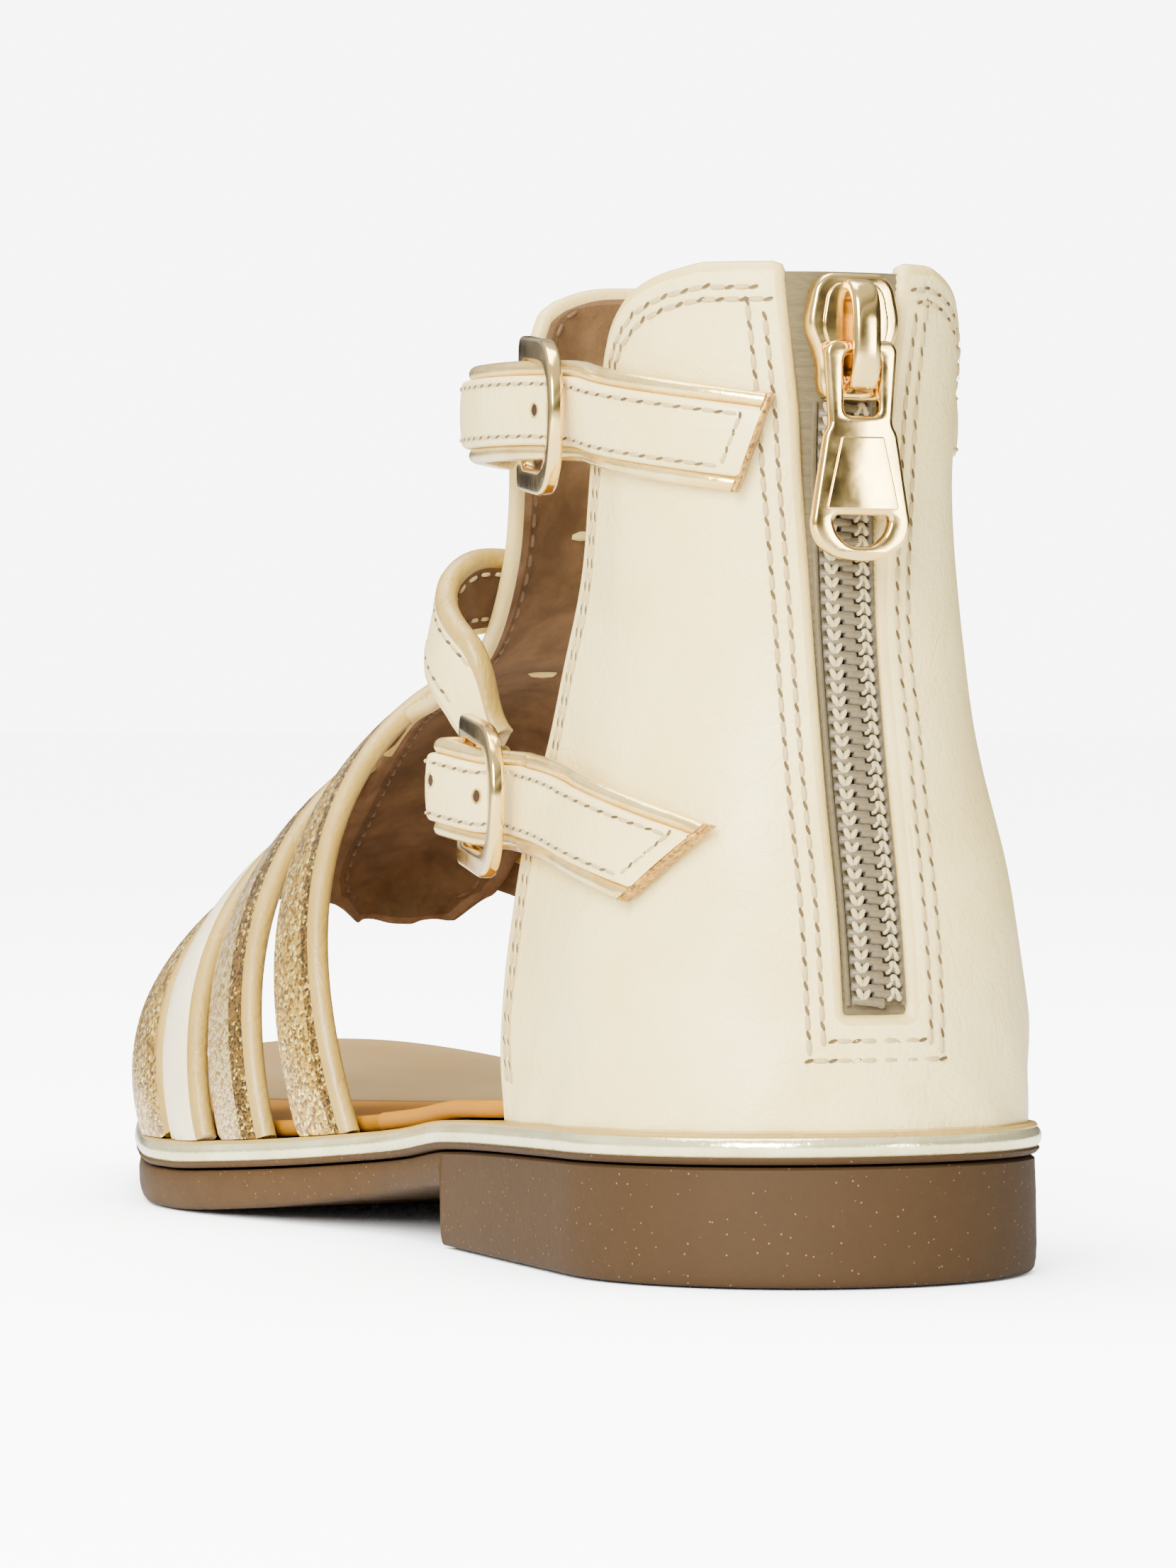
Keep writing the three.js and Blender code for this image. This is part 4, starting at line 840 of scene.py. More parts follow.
def build_outsole():
    shape = Shape()
    rings = [sole_ring(k, 0, tread) for k in (0, 0.2, 0.4, 0.6, 0.8, 0.88)]
    rings.append(sole_ring(0.93, 0, lambda y, e: underside(y)))
    for out, rise in OUTSOLE_EDGE:
        rings.append(sole_ring(1, out, lambda y, e, r=rise:
                               underside(e) + min(r, (outsole_top(e) - underside(e)) * 0.6)))
    rings.append(sole_ring(1, 0.12, lambda y, e: mix(underside(e), outsole_top(e), 0.7)))
    rings.append(sole_ring(1, 0, lambda y, e: outsole_top(e) - 0.25))
    rings.append(sole_ring(1, -0.35, lambda y, e: outsole_top(e)))
    rings.append(sole_ring(0.5, 0, lambda y, e: outsole_top(y)))
    rings.append(sole_ring(0, 0, lambda y, e: outsole_top(y)))
    shape.loft(rings, caps=(None, None))
    make_piece("outsole_dressed", shape, [RUBBER], 50, replaces="outsole")


# Section of the rand: out from the sole's edge in millimetres and up as a share of its height
RAND_SECTION = [
    (-1.2, 0.0), (0.1, 0.0), (0.42, 0.1), (0.5, 0.17), (0.3, 0.24), (0.55, 0.36), (0.7, 0.5),
    (0.68, 0.64), (0.5, 0.78), (0.22, 0.87), (0.3, 0.93), (0.1, 1.0), (-0.5, 1.0), (-3.0, 1.0),
]
RAND_MARKS = [1, 1, 1, 1, 0, 0, 0, 0, 0, 2, 2, 2, 2]


def build_rand():
    """Foil rand: a rolled strip round the sole with a fine lip over and under it."""
    shape = Shape()
    rings = [sole_ring(0, 0, lambda y, e: outsole_top(y) + GAP),
             sole_ring(0.5, 0, lambda y, e: outsole_top(y) + GAP)]
    for out, up in RAND_SECTION:
        rings.append(sole_ring(1, out, lambda y, e, u=up:
                               outsole_top(e) + GAP + u * MIDSOLE_THICKNESS))
    rings.append(sole_ring(0.5, 0, lambda y, e: midsole_top(y)))
    rings.append(sole_ring(0, 0, lambda y, e: midsole_top(y)))
    for k in range(len(rings) - 1):
        mark = RAND_MARKS[k - 2] if 2 <= k < 2 + len(RAND_MARKS) else 1
        part = Shape()
        part.loft(rings[k:k + 2], caps=(None, None))
        shape.add(part.points, part.faces, mark)
    make_piece("foil_rand", shape, [FOIL_RAND, RUBBER, ROLLED_EDGE], 50,
               replaces="midsole")


FOOTBED_DISH = 0.14
FOOTBED_EDGE = [(0, 0.25), (0.15, 0.5), (0.1, 0.8), (-0.2, 1.02), (-0.7, 1.08), (-1.3, 0.95)]


def footbed_inset(y):
    return -table_value(INSOLE_INSET, y / SOLE_LENGTH, 1)


def footbed_top(y, _):
    dish = FOOTBED_DISH * math.sin(math.pi * min(max(y / SOLE_LENGTH, 0), 1))
    return midsole_top(y) + GAP + INSOLE_THICKNESS - dish


def footbed_bottom(y, _):
    return midsole_top(y) + GAP


def build_footbed():
    shape = Shape()
    rings = [sole_ring(0, 0, footbed_bottom), sole_ring(0.5, 0, footbed_bottom)]
    rings.append(sole_ring(1, lambda y: footbed_inset(y) - 0.4, footbed_bottom))
    for out, up in FOOTBED_EDGE:
        rings.append(sole_ring(1, lambda y, o=out: footbed_inset(y) + o,
                               lambda y, e, u=up: mix(footbed_bottom(y, e), footbed_top(y, e), u)))
    rings.append(sole_ring(0.88, footbed_inset, footbed_top))
    for kept in (0.7, 0.5, 0.25, 0):
        rings.append(sole_ring(kept, 0, footbed_top))
    shape.loft(rings, caps=(None, None))
    make_piece("footbed", shape, [FOOTBED], 60, replaces="insole")


build_outsole()
build_rand()
build_footbed()


# Back quarter with the slot for the zip

SLOT_CORNER = 1.4
SLOT_HALF = ZIP_SLOT / 2 + 0.6
# Half width of the slot by height: it widens to the mouth at the top
SLOT_HALVES = [
    (0, SLOT_HALF), (SHAFT_HEIGHT - 36, SLOT_HALF), (SHAFT_HEIGHT - 15, 5.5), (SHAFT_HEIGHT - 8.2, 6.3),
    (SHAFT_HEIGHT - 1, ZIP_MOUTH / 2), (SHAFT_HEIGHT + 1, ZIP_MOUTH / 2),
]


def slot_half(z):
    half = table_value(SLOT_HALVES, z, 1)
    rise = z - ZIP_BOTTOM
    if 0 <= rise < SLOT_CORNER:
        half -= SLOT_CORNER - math.sqrt(SLOT_CORNER ** 2 - (SLOT_CORNER - rise) ** 2)
    return half


def slot_round(z, beyond=0.0):
    """Way round the quarter from the back line to the slot's edge, or to a line beyond it."""
    half = quarter_row(z)[1]
    return half * math.asin(min((slot_half(z) + beyond) / half, 1))


def quarter_bottom(side, along):
    low = SHAFT_HEIGHT * QUARTER[0][0]
    foot = quarter_plan(side, along * quarter_reach(low, side), low)
    return midsole_top(foot.y) + GAP


def quarter_swell(side, round_, z):
    """Small hollows and swellings of leather that has stood unworn."""
    waves = 0.16 * math.sin(z / 6.1 + round_ / 9) + 0.12 * math.sin(z / 3.7 - round_ / 5.2 + side)
    low = max(0.0, 1 - (z - 14) / 16)
    creases = 0.22 * low * math.sin(round_ / 1.9 + z / 2.3)
    return (waves + creases) * min(1, round_ / 6)


def build_quarter():
    columns = 34
    under_columns = 4
    low_rows = 12
    levels = [0, 0.12, 0.35, 0.75, 1.4]
    zs = [ZIP_BOTTOM + v for v in levels]
    zs += [mix(ZIP_BOTTOM + 1.4, SHAFT_HEIGHT - 6, t) for t in spread(46)[1:]]
    zs += [mix(SHAFT_HEIGHT - 6, SHAFT_HEIGHT, math.sin(t * math.pi / 2)) for t in spread(14)[1:]]
    outer, inner, index, faces = [], [], {}, []

    def corner(side, column, row):
        """Number of the vertex at a column and row; columns below 0 lie under the slot."""
        key = (0 if column == -under_columns else side, column, row)
        if key in index:
            return index[key]
        start = slot_half(ZIP_BOTTOM)
        if row < low_rows:
            if column <= 0:
                round_ = start * (column + under_columns) / under_columns
            else:
                reach = quarter_reach(ZIP_BOTTOM, side)
                round_ = mix(start, reach, column / columns)
            along = round_ / quarter_reach(ZIP_BOTTOM, side)
            z = mix(quarter_bottom(side, along), ZIP_BOTTOM, row / low_rows)
            round_ *= quarter_reach(z, side) / quarter_reach(ZIP_BOTTOM, side) if column > 0 else 1
        else:
            z = zs[row - low_rows]
            if column <= 0:
                round_ = start * (column + under_columns) / under_columns if row == low_rows else 0
                if column == 0:
                    round_ = slot_round(z)
            else:
                t = column / columns
                round_ = mix(slot_round(z), quarter_reach(z, side), t)
        swell = quarter_swell(side, round_, z)
        index[key] = len(outer)
        outer.append(on_quarter(side, round_, z, swell))
        inner.append(on_quarter(side, round_, z, swell - WALL))
        return index[key]

    for side in (LATERAL, MEDIAL):
        for row in range(low_rows + len(zs) - 1):
            first = -under_columns if row < low_rows else 0
            for column in range(first, columns):
                a, b = corner(side, column, row), corner(side, column + 1, row)
                c, d = corner(side, column + 1, row + 1), corner(side, column, row + 1)
                faces.append([a, b, c, d] if side == MEDIAL else [b, a, d, c])
    shape = Shape()
    shape.shell(outer, inner, faces, WALL / 2, steps=6)
    make_piece("back_quarter_leather", shape, [CREAM, LINING_SMOOTH, CREAM_EDGE], 60,
               replaces="back_quarter")


build_quarter()


def slid(line, distance):
    """Line on a flat pattern moved sideways, to the left of its way."""
    out = []
    for i, p in enumerate(line):
        way = (line[min(i + 1, len(line) - 1)] - line[max(i - 1, 0)]).normalized()
        out.append(p + Vector((-way.y, way.x)) * distance)
    return out


def sewn(shape, path, pitch=STITCH_PITCH, width=0.56, height=0.2, mark_radius=0.19):
    """Stitches along a path of points with the outward direction at each, and needle marks between them
    whose dark colour is painted shade of the needle holes.
    """
    gone = 0.0
    next_at = pitch / 2
    for (p, out_p), (q, out_q) in zip(path, path[1:]):
        step = (q - p).length
        if step < 1e-6:
            continue
        along = (q - p).normalized()
        while gone + step >= next_at:
            t = (next_at - gone) / step
            place = p.lerp(q, t)
            out = out_p.lerp(out_q, t)
            out = (out - along * out.dot(along)).normalized()
            shape.bead(place, along, out, pitch * 0.66, width, height, 0)
            tilted = along + out.cross(along) * 0.3
            between = place + along * (pitch * 0.5) + out * 0.07
            # Dark dash between stitches: painted shade of the needle hole
            shape.dash(between, tilted, out, mark_radius, pitch * 0.44, 1)
            next_at += pitch
        gone += step


def quarter_path(side, line):
    """Path on the quarter from points of round and height."""
    path = []
    for p in line:
        round_, z = max(p.x, 0.0), min(p.y, SHAFT_HEIGHT - 0.4)
        lift = quarter_swell(side, round_, z) + 0.08
        path.append((on_quarter(side, round_, z, lift), quarter_normal(side, round_, z)))
    return path


# Seams: beside and under the slot, and inwards from the quarter's edge
SLOT_SEAMS = [(1.2, 1.5), (2.6, 3.4)]
EDGE_SEAMS = [1.5, 2.7]


def build_quarter_stitching():
    shape = Shape()
    for side in (LATERAL, MEDIAL):
        heights = [mix(ZIP_BOTTOM, SHAFT_HEIGHT - 3.5, t) for t in spread(60)]
        for beside, under in SLOT_SEAMS:
            line = [Vector((0.0, ZIP_BOTTOM - under)), Vector((SLOT_HALF + beside, ZIP_BOTTOM - under))]
            line += [Vector((slot_round(max(z, ZIP_BOTTOM + SLOT_CORNER), beside), z)) for z in heights]
            sewn(shape, quarter_path(side, line))
        rim = [mix(18, SHAFT_HEIGHT - 3, t) for t in spread(60)]
        rim += [mix(SHAFT_HEIGHT - 3, SHAFT_HEIGHT, math.sin(t * math.pi / 2)) for t in spread(10)[1:]]
        edge = [Vector((quarter_reach(z, side), z)) for z in rim]
        last = edge[-1]
        edge += [Vector((mix(last.x, slot_round(SHAFT_HEIGHT), t), SHAFT_HEIGHT)) for t in spread(6)[1:]]
        clear = slot_round(SHAFT_HEIGHT) + 0.6
        for inward in EDGE_SEAMS:
            line = [p for p in slid(edge, inward) if p.x > clear or p.y < SHAFT_HEIGHT - 8]
            sewn(shape, quarter_path(side, line))
    make_piece("quarter_stitching", shape, [THREAD, NEEDLE_HOLE_SHADE], 60)


build_quarter_stitching()


# Zip

CHAIN_FROM = ZIP_BOTTOM + 2
CHAIN_TO = SHAFT_HEIGHT - SLIDER_LENGTH - GAP
COIL_PITCH = 1.3
COIL_REACH = 2.6
CORD_PLACE = 2.95
CORD_RADIUS = 0.3
TAPE_RIB = 0.1
TAPE_RIB_PITCH = 0.75
TAPE_UNDER = 0.7


def on_back(x, z, offset):
    """Point of the heel's back line moved x across, with its outward direction."""
    side = LATERAL if x < 0 else MEDIAL
    half = quarter_row(z)[1]
    round_ = half * math.asin(min(abs(x) / half, 1))
    return on_quarter(side, round_, z, offset), quarter_normal(side, round_, z)


def build_tape():
    shape = Shape()
    rows = 250
    columns = 14
    points_out, points_in = [], []
    for i in range(rows + 1):
        z = mix(ZIP_BOTTOM - 1.4, SHAFT_HEIGHT, i / rows)
        reach = slot_half(max(z, ZIP_BOTTOM + SLOT_CORNER)) + TAPE_UNDER
        rib = TAPE_RIB * math.cos(math.tau * z / TAPE_RIB_PITCH)
        for j in range(columns + 1):
            x = mix(-reach, reach, j / columns)
            points_out.append(on_back(x, z, -TAPE_RECESS + rib)[0])
            points_in.append(on_back(x, z, -WALL + 0.05)[0])
    shape.shell(points_out, points_in, grid_faces(rows, columns), 0.1, marks=(0, 0, 0), steps=2)
    make_piece("zip_tape_ribbed", shape, [TAPE], 70, replaces="zip_tape")


def build_chain():
    shape = Shape()
    count = int((CHAIN_TO - CHAIN_FROM) / COIL_PITCH)
    for k in range(count):
        for side in (-1, 1):
            z = CHAIN_FROM + (k + (0.5 if side > 0 else 0.0) + 0.25) * COIL_PITCH
            rings = []
            for t in spread(9):
                x = side * mix(COIL_REACH, -0.5, t)
                rise = -TAPE_RECESS + 0.2 + 0.95 * math.sin(math.pi * min(1, t * 0.62 + 0.16)) ** 0.7
                tilt = 0.35 * side * (t - 0.5)
                centre, out = on_back(x, z + tilt, rise)
                size = 0.36 if t < 0.85 else 0.45
                rings.append(oval(centre, UP * (size * 1.15), out * size, 8))
            shape.loft(rings)
    for side in (-1, 1):
        for k in range(count):
            z = CHAIN_FROM + (k + 0.75) * COIL_PITCH
            for way in (-1, 1):
                centre, out = on_back(side * (1.6 + 0.3 * way), z, 0.3)
                along = (UP + Vector((-way * 0.5, 0, 0))).normalized()
                shape.bead(centre, along, out, COIL_PITCH * 1.12, 0.66, 0.34, 1)
    for side in (-1, 1):
        rings = []
        for t in spread(60):
            centre, out = on_back(side * CORD_PLACE, mix(CHAIN_FROM, CHAIN_TO, t), -TAPE_RECESS + 0.3)
            rings.append(oval(centre, Vector((CORD_RADIUS, 0, 0)), out * CORD_RADIUS, 6))
        shape.loft(rings)
    make_piece("zip_coils", shape, [COIL, COIL_STITCH], 60, replaces="zip_chain")


build_tape()
build_chain()

SLIDER_TOP = SHAFT_HEIGHT - 0.2
SLIDER_MIDDLE = SLIDER_TOP - SLIDER_LENGTH / 2
SLIDER_CENTRE = quarter_row(SLIDER_MIDDLE)[2]
SLIDER_BACK = quarter_row(SLIDER_MIDDLE)[0] + TAPE_RECESS - GAP - 0.3
SLIDER_FACE = SLIDER_BACK - SLIDER_DEPTH
HINGE_Y = SLIDER_FACE - 1.15
HINGE_Z = SLIDER_TOP - 7.3
PULL_BAR = 1.3
BRIDGE_WIDTH = 2.8
BRIDGE_REACH = 3.6
FACING_BACK = (Vector((1, 0, 0)), UP, Vector((0, -1, 0)))
# Half outlines: share of the width across and of the length down
SLIDER_ROWS = [(0.3, 0.0), (0.42, 0.1), (0.5, 0.42), (0.37, 0.66), (0.35, 1.0)]
PULL_ROWS = [
    (0.3, 0.0), (0.36, 0.04), (0.335, 0.2), (0.31, 0.38), (0.36, 0.42),
    (0.43, 0.63), (0.5, 0.84), (0.44, 0.92), (0.25, 0.985), (0.0, 1.0),
]
PLATE_ROWS = [(0.2, 0.435), (0.215, 0.44), (0.36, 0.755), (0.35, 0.765)]


def mirrored(rows, width, top, length):
    """Closed outline from half widths at shares of the length down."""
    left = [(-across * width, top - down * length) for across, down in rows]
    right_side = [(across * width, top - down * length) for across, down in reversed(rows) if across > 0]
    return left + right_side


def add_plate(shape, outlines, thickness, bevel, middle_y):
    origin = Vector((SLIDER_CENTRE, middle_y, 0))
    shape.add(*plate_mesh(outlines, thickness, bevel, FACING_BACK, origin))


def build_slider():
    """Slider's body with a raised face, and the bridge that the pull swings on."""
    shape = Shape()
    body = soft_corner(mirrored(SLIDER_ROWS, SLIDER_WIDTH, SLIDER_TOP, SLIDER_LENGTH), 1.6)
    add_plate(shape, [body], SLIDER_DEPTH, 0.55, (SLIDER_FACE + SLIDER_BACK) / 2)
    raised = [(a * 0.72, 0.08 + d * 0.84) for a, d in SLIDER_ROWS]
    face = soft_corner(mirrored(raised, SLIDER_WIDTH, SLIDER_TOP, SLIDER_LENGTH), 1.2)
    add_plate(shape, [face], 0.5, 0.22, SLIDER_FACE - 0.1)
    top, bottom = SLIDER_TOP - 0.7, SLIDER_TOP - SLIDER_LENGTH + 0.6
    middle = (top + bottom) / 2
    rings = []
    for t in spread(24):
        turn = math.pi * t
        z = middle + (top - bottom - 1.3) / 2 * math.copysign(abs(math.cos(turn)) ** 0.62, math.cos(turn))
        y = SLIDER_FACE + 0.3 - (BRIDGE_REACH - 0.4) * math.sin(turn) ** 0.62
        out = Vector((0, -math.sin(turn) * 0.8 - 0.05, math.cos(turn))).normalized()
        ring = []
        for a, n in rounded(BRIDGE_WIDTH, 1.25, 0.5, base=-0.62, dome=0.12, steps=3):
            ring.append(Vector((SLIDER_CENTRE + a, y, z)) + out * n)
        rings.append(ring)
    shape.loft(rings)
    make_piece("zip_slider_polished", shape, [GOLD], 35, replaces="zip_slider")


def build_pull():
    """Pull tab: a window over the bridge, a raised plate and an eye at its lower end."""
    shape = Shape()
    top = HINGE_Z + PULL_BAR / 2
    body = soft_corner(mirrored(PULL_ROWS, PULL_WIDTH, top, PULL_LENGTH), 0.9)
    half = BRIDGE_WIDTH / 2 + 0.45
    high, low = HINGE_Z - PULL_BAR / 2, top - PULL_LENGTH * 0.34
    window = soft_corner([(-half, high), (half, high), (half, low), (-half, low)], 0.8)
    half = PULL_WIDTH * 0.3
    high, low = top - PULL_LENGTH * 0.79, top - PULL_LENGTH * 0.93
    knee = mix(high, low, 0.6)
    ring = soft_corner([(-half, high), (half, high), (half * 0.85, knee), (half * 0.4, low),
                        (-half * 0.4, low), (-half * 0.85, knee)], 0.8)
    add_plate(shape, [body, window, ring], PULL_THICKNESS, 0.42, HINGE_Y)
    plate = soft_corner(mirrored(PLATE_ROWS, PULL_WIDTH, top, PULL_LENGTH), 0.5)
    add_plate(shape, [plate], 0.36, 0.14, HINGE_Y - PULL_THICKNESS / 2 - 0.08)
    make_piece("zip_pull_polished", shape, [GOLD], 35, body="pull", replaces="zip_pull")


build_slider()
build_pull()


# Centre panel over the instep, with its brown lining towards the foot

PANEL_LINE = [Vector((0, forward * SOLE_LENGTH, up * SHAFT_HEIGHT)) for forward, up, _, _ in PANEL]


def panel_tangent(t):
    below, above = [centripetal(PANEL_LINE, min(max(t + step, 0), 1)) for step in (1e-4, -1e-4)]
    return (below - above).normalized()


def panel_half(t):
    at = t * (len(PANEL) - 1)
    low = min(int(at), len(PANEL) - 2)
    return [mix(PANEL[low][k], PANEL[low + 1][k], at - low) * HEEL_WIDTH for k in (2, 3)]


def panel_point(t, share, offset=0.0):
    """Point of the panel at t down its line and a share of its half width across."""
    half, radius = panel_half(t)
    middle = centripetal(PANEL_LINE, t)
    down = panel_tangent(t)
    out = Vector((0, -down.z, down.y))
    turn = share * half / radius
    lean = quarter_row(min(middle.z, SHAFT_HEIGHT))[2]
    return (middle + out * (radius * (math.cos(turn) - 1) + offset * math.cos(turn))
            + Vector((PANEL_LEAN * lean + (radius + offset) * math.sin(turn), 0, 0)))


def panel_share(axis, wanted):
    """The t at which the panel's middle line reaches a place along y or z."""
    rising = axis == 1
    low, high = 0.0, 1.0
    for _ in range(24):
        t = (low + high) / 2
        if (centripetal(PANEL_LINE, t)[axis] < wanted) == rising:
            low = t
        else:
            high = t
    return (low + high) / 2


def panel_crumple(t, share):
    """Creases of the tongue, deep at its free lower end and faint above."""
    loose = max(0.0, (t - 0.78) / 0.22)
    deep = 1.4 * loose * (math.sin(share * 4.4 + t * 17) * 0.75 + math.sin(share * 7.1 - t * 31) * 0.2)
    faint = 0.2 * math.sin(share * 3.1 + t * 23) + 0.08 * math.sin(t * 61 - share * 4)
    return deep + faint * min(1, t / 0.15)


def panel_out(t, share):
    return (panel_point(t, share, 1) - panel_point(t, share, 0)).normalized()


CORNER_DROP = 0.035
CORNER_ZONE = 0.12
RIM_BULGE = 0.95
# Seams: 1 on the outer skin or -1 on the lining, and inset from the side
PANEL_SEAMS = [(1, 1.5), (1, 3.0), (-1, 2.2)]
# Bars on the lining: place down the panel and across it
BARS = [(0.33, -0.32), (0.525, -0.02)]


def build_panel():
    """Panel with rounded top corners, brown lining, seams and the two bars sewn on the lining."""
    rows, columns = 96, 40
    outer, inner = [], []
    for i in range(rows + 1):
        for j in range(columns + 1):
            t, share = i / rows, 2 * j / columns - 1
            t += CORNER_DROP * abs(share) ** 5 * max(0.0, 1 - t / CORNER_ZONE)
            move = panel_crumple(t, share)
            outer.append(panel_point(t, share, move))
            inner.append(panel_point(t, share, move - PANEL_THICKNESS))
    inner_marks = [3 if j < 2 or j >= columns - 2 or i < 2 else 1
                   for i in range(rows) for j in range(columns)]
    shape = Shape()
    shape.shell(outer, inner, grid_faces(rows, columns), RIM_BULGE, steps=7, inner_marks=inner_marks)
    brown_below = panel_point(0.7, 0).z
    for k, face in enumerate(shape.faces):
        if shape.marks[k] == 2 and sum(shape.points[i].z for i in face) / len(face) < brown_below:
            shape.marks[k] = 3
    make_piece("instep_panel", shape, [CREAM, LINING, CREAM_EDGE, LINING_EDGE], 70,
               replaces="strap_upper")
    thread = Shape()
    hidden = Shape()
    for side in (-1, 1):
        for skin, inset in PANEL_SEAMS:
            path = []
            for t in [0.035 + 0.935 * t for t in spread(110)]:
                half = panel_half(t)[0]
                share = side * max(0, 1 - inset / half)
                move = panel_crumple(t, share) + (0.05 if skin > 0 else -PANEL_THICKNESS - 0.05)
                path.append((panel_point(t, share, move), panel_out(t, share) * skin))
            sewn(thread if skin > 0 else hidden, path, pitch=2.3, width=0.5, height=0.2, mark_radius=0.18)
    for t, share in BARS:
        centre = panel_point(t, share, panel_crumple(t, share) - PANEL_THICKNESS - 0.1)
        thread.bead(centre, Vector((1, 0, 0)), -panel_out(t, share), 3.4, 1.1, 0.5, 2)
    make_piece("panel_stitching", thread, [THREAD, NEEDLE_HOLE_SHADE, CREAM_EDGE], 60)
    make_piece("panel_lining_stitching", hidden, [BROWN_THREAD, NEEDLE_HOLE_SHADE], 60)


build_panel()


# Straps: places off the quarter as shares of the heel width and shaft height

def free(x, y, up, wide=0.0):
    """Station off the quarter, with its width direction tipped forward by wide."""
    return Vector((x * HEEL_WIDTH, y * HEEL_WIDTH, up * SHAFT_HEIGHT)), Vector((0, -wide, 1)).normalized()


def on_heel(side, round_, up, inside=0.0):
    """Station on the quarter, or as far inside it as a strap is thick."""
    half = CROSS_WIDTH / 2
    way = -1 if inside > 0 else 1
    offset = -WALL if inside > 0 else 0
    z = up * SHAFT_HEIGHT
    reach = round_ * HEEL_WIDTH
    high, middle, low = [on_quarter(side, reach, z + move, offset) for move in (half, 0, -half)]
    normal = quarter_normal(side, reach, z) * way
    place = (high + low) / 2
    push = max(0, (middle - place).dot(normal))
    return place + normal * (push + GAP + FACET + inside), (high - low).normalized()


def tail_rows(tip, leave, bow=0.0):
    """Stations of a strap's tail on the quarter, bowed upwards between its ends."""
    rows = []
    for t in spread(9):
        up = mix(tip[1], leave[1], t) + bow * math.sin(math.pi * t)
        rows.append(on_heel(LATERAL, mix(tip[0], leave[0], t), up))
    return rows


def on_panel(up, share, offset):
    t = panel_share(2, up * SHAFT_HEIGHT)
    return panel_point(t, share, offset), -panel_tangent(t)


def skin_marks(section, width, lip):
    """Finish of each side of a section: 0 for its face, 1 for its back and 2 for its edges."""
    marks = []
    for (a, n), (b, m) in zip(section, section[1:] + section[:1]):
        on_edge = abs((a + b) / 2) > width / 2 - lip
        marks.append(2 if on_edge else 0 if (n + m) / 2 > 0 else 1)
    return marks


def circle(radius, a, n, sides=14):
    return [tuple(p) for p in oval(Vector((a, n)), Vector((radius, 0)), Vector((0, radius)), sides)]


ROLL = 0.84
CUT_THICKNESS = 0.7
SEAM_INSET = 0.85
SEAM_LEAD = 1.9


def build_buckle_strap(name, stations, slant, replaces=None):
    """Foil strap with rolled edges and a raised cream overlay; its slanted tip is gilded."""
    shape = Shape()
    foil = rounded(CROSS_WIDTH, FOIL, 0.45, dome=0.05, steps=5)
    shape.loft(band_rings(stations, foil, slant), 0, caps=(2, 0))
    full = FOIL + OVERLAY
    cream = rounded(OVERLAY_WIDTH, OVERLAY + 0.2, 0.5, base=FOIL - 0.2, dome=0.28, steps=5)
    shape.loft(band_rings(stations, cream, slant), 1, caps=(2, 1))
    for side in (-1, 1):
        roll = circle(ROLL, side * (CROSS_WIDTH / 2 - ROLL + 0.05), FOIL - 0.4)
        shape.loft(band_rings(stations, roll, slant), 0, caps=(2, 0))
    axes = band_axes(stations)
    place, along, wide, out = on_band(stations, axes, 0, 0, 0)
    cut_line = (wide - along * slant).normalized()
    across = CROSS_WIDTH / 2 * math.sqrt(1 + slant * slant)
    section = rounded(full, CUT_THICKNESS, 0.3, base=-CUT_THICKNESS / 2)
    rings = []
    for t in spread(24):
        high = full / 2 * (0.82 if abs(t - 0.5) > 0.36 else 1)
        middle = place + cut_line * mix(-across, across, t) + out * high
        rings.append([middle + out * (a * high * 2 / full) + along * n for a, n in section])
    shape.loft(rings, 2, (2, 2))
    make_piece(name, shape, [FOIL_GOLD, CREAM, CUT_EDGE], 50, replaces=replaces)
    length = distances(stations)[-1]
    stitches = Shape()
    inset = OVERLAY_WIDTH / 2 - SEAM_INSET
    rise = full + 0.16
    for a in (-inset, inset):
        steps = int(length / 1.1)
        path = []
        for i in range(steps):
            distance = SEAM_LEAD - slant * a + i * 1.1
            if distance < length - 0.5:
                place, _, _, out = on_band(stations, axes, distance, a, rise)
                path.append((place, out))
        sewn(stitches, path, pitch=STRAP_PITCH, width=0.46, height=0.18, mark_radius=0.15)
    path = []
    for t in spread(6):
        a = mix(-inset, inset, t)
        place, _, _, out = on_band(stations, axes, SEAM_LEAD - slant * a, a, rise + 0.06)
        path.append((place, out))
    sewn(stitches, path, pitch=1.8, width=0.46, height=0.18, mark_radius=0.15)
    make_piece(name + "_stitching", stitches, [THREAD, NEEDLE_HOLE_SHADE], 60)


HOLE = 0.62
HOLE_RIM = 0.15


def build_holes(name, stations, places):
    """Punched holes along the middle of a strap, each a flat dark disc of painted shade with a pressed rim.
    """
    shape = Shape()
    axes = band_axes(stations)
    for distance, aside in places:
        place, along, wide, out = on_band(stations, axes, distance, aside, FOIL + OVERLAY + 0.3)
        # Flat dark disc where the hole is: painted shade
        shape.add([*oval(place, along * HOLE, wide * HOLE, 16), place - out * 0.02], fan_faces(16))
        rings = []
        for way in oval(Vector((0, 0, 0)), along, wide, 18):
            middle = place + way * (HOLE + 0.1) - out * 0.03
            rings.append(oval(middle, way * HOLE_RIM, out * HOLE_RIM, 6))
        rings.append(rings[0])
        shape.loft(rings, 1, caps=(None, None))
    make_piece(name, shape, [PUNCHED_HOLE_SHADE, FOIL_GOLD], 60)


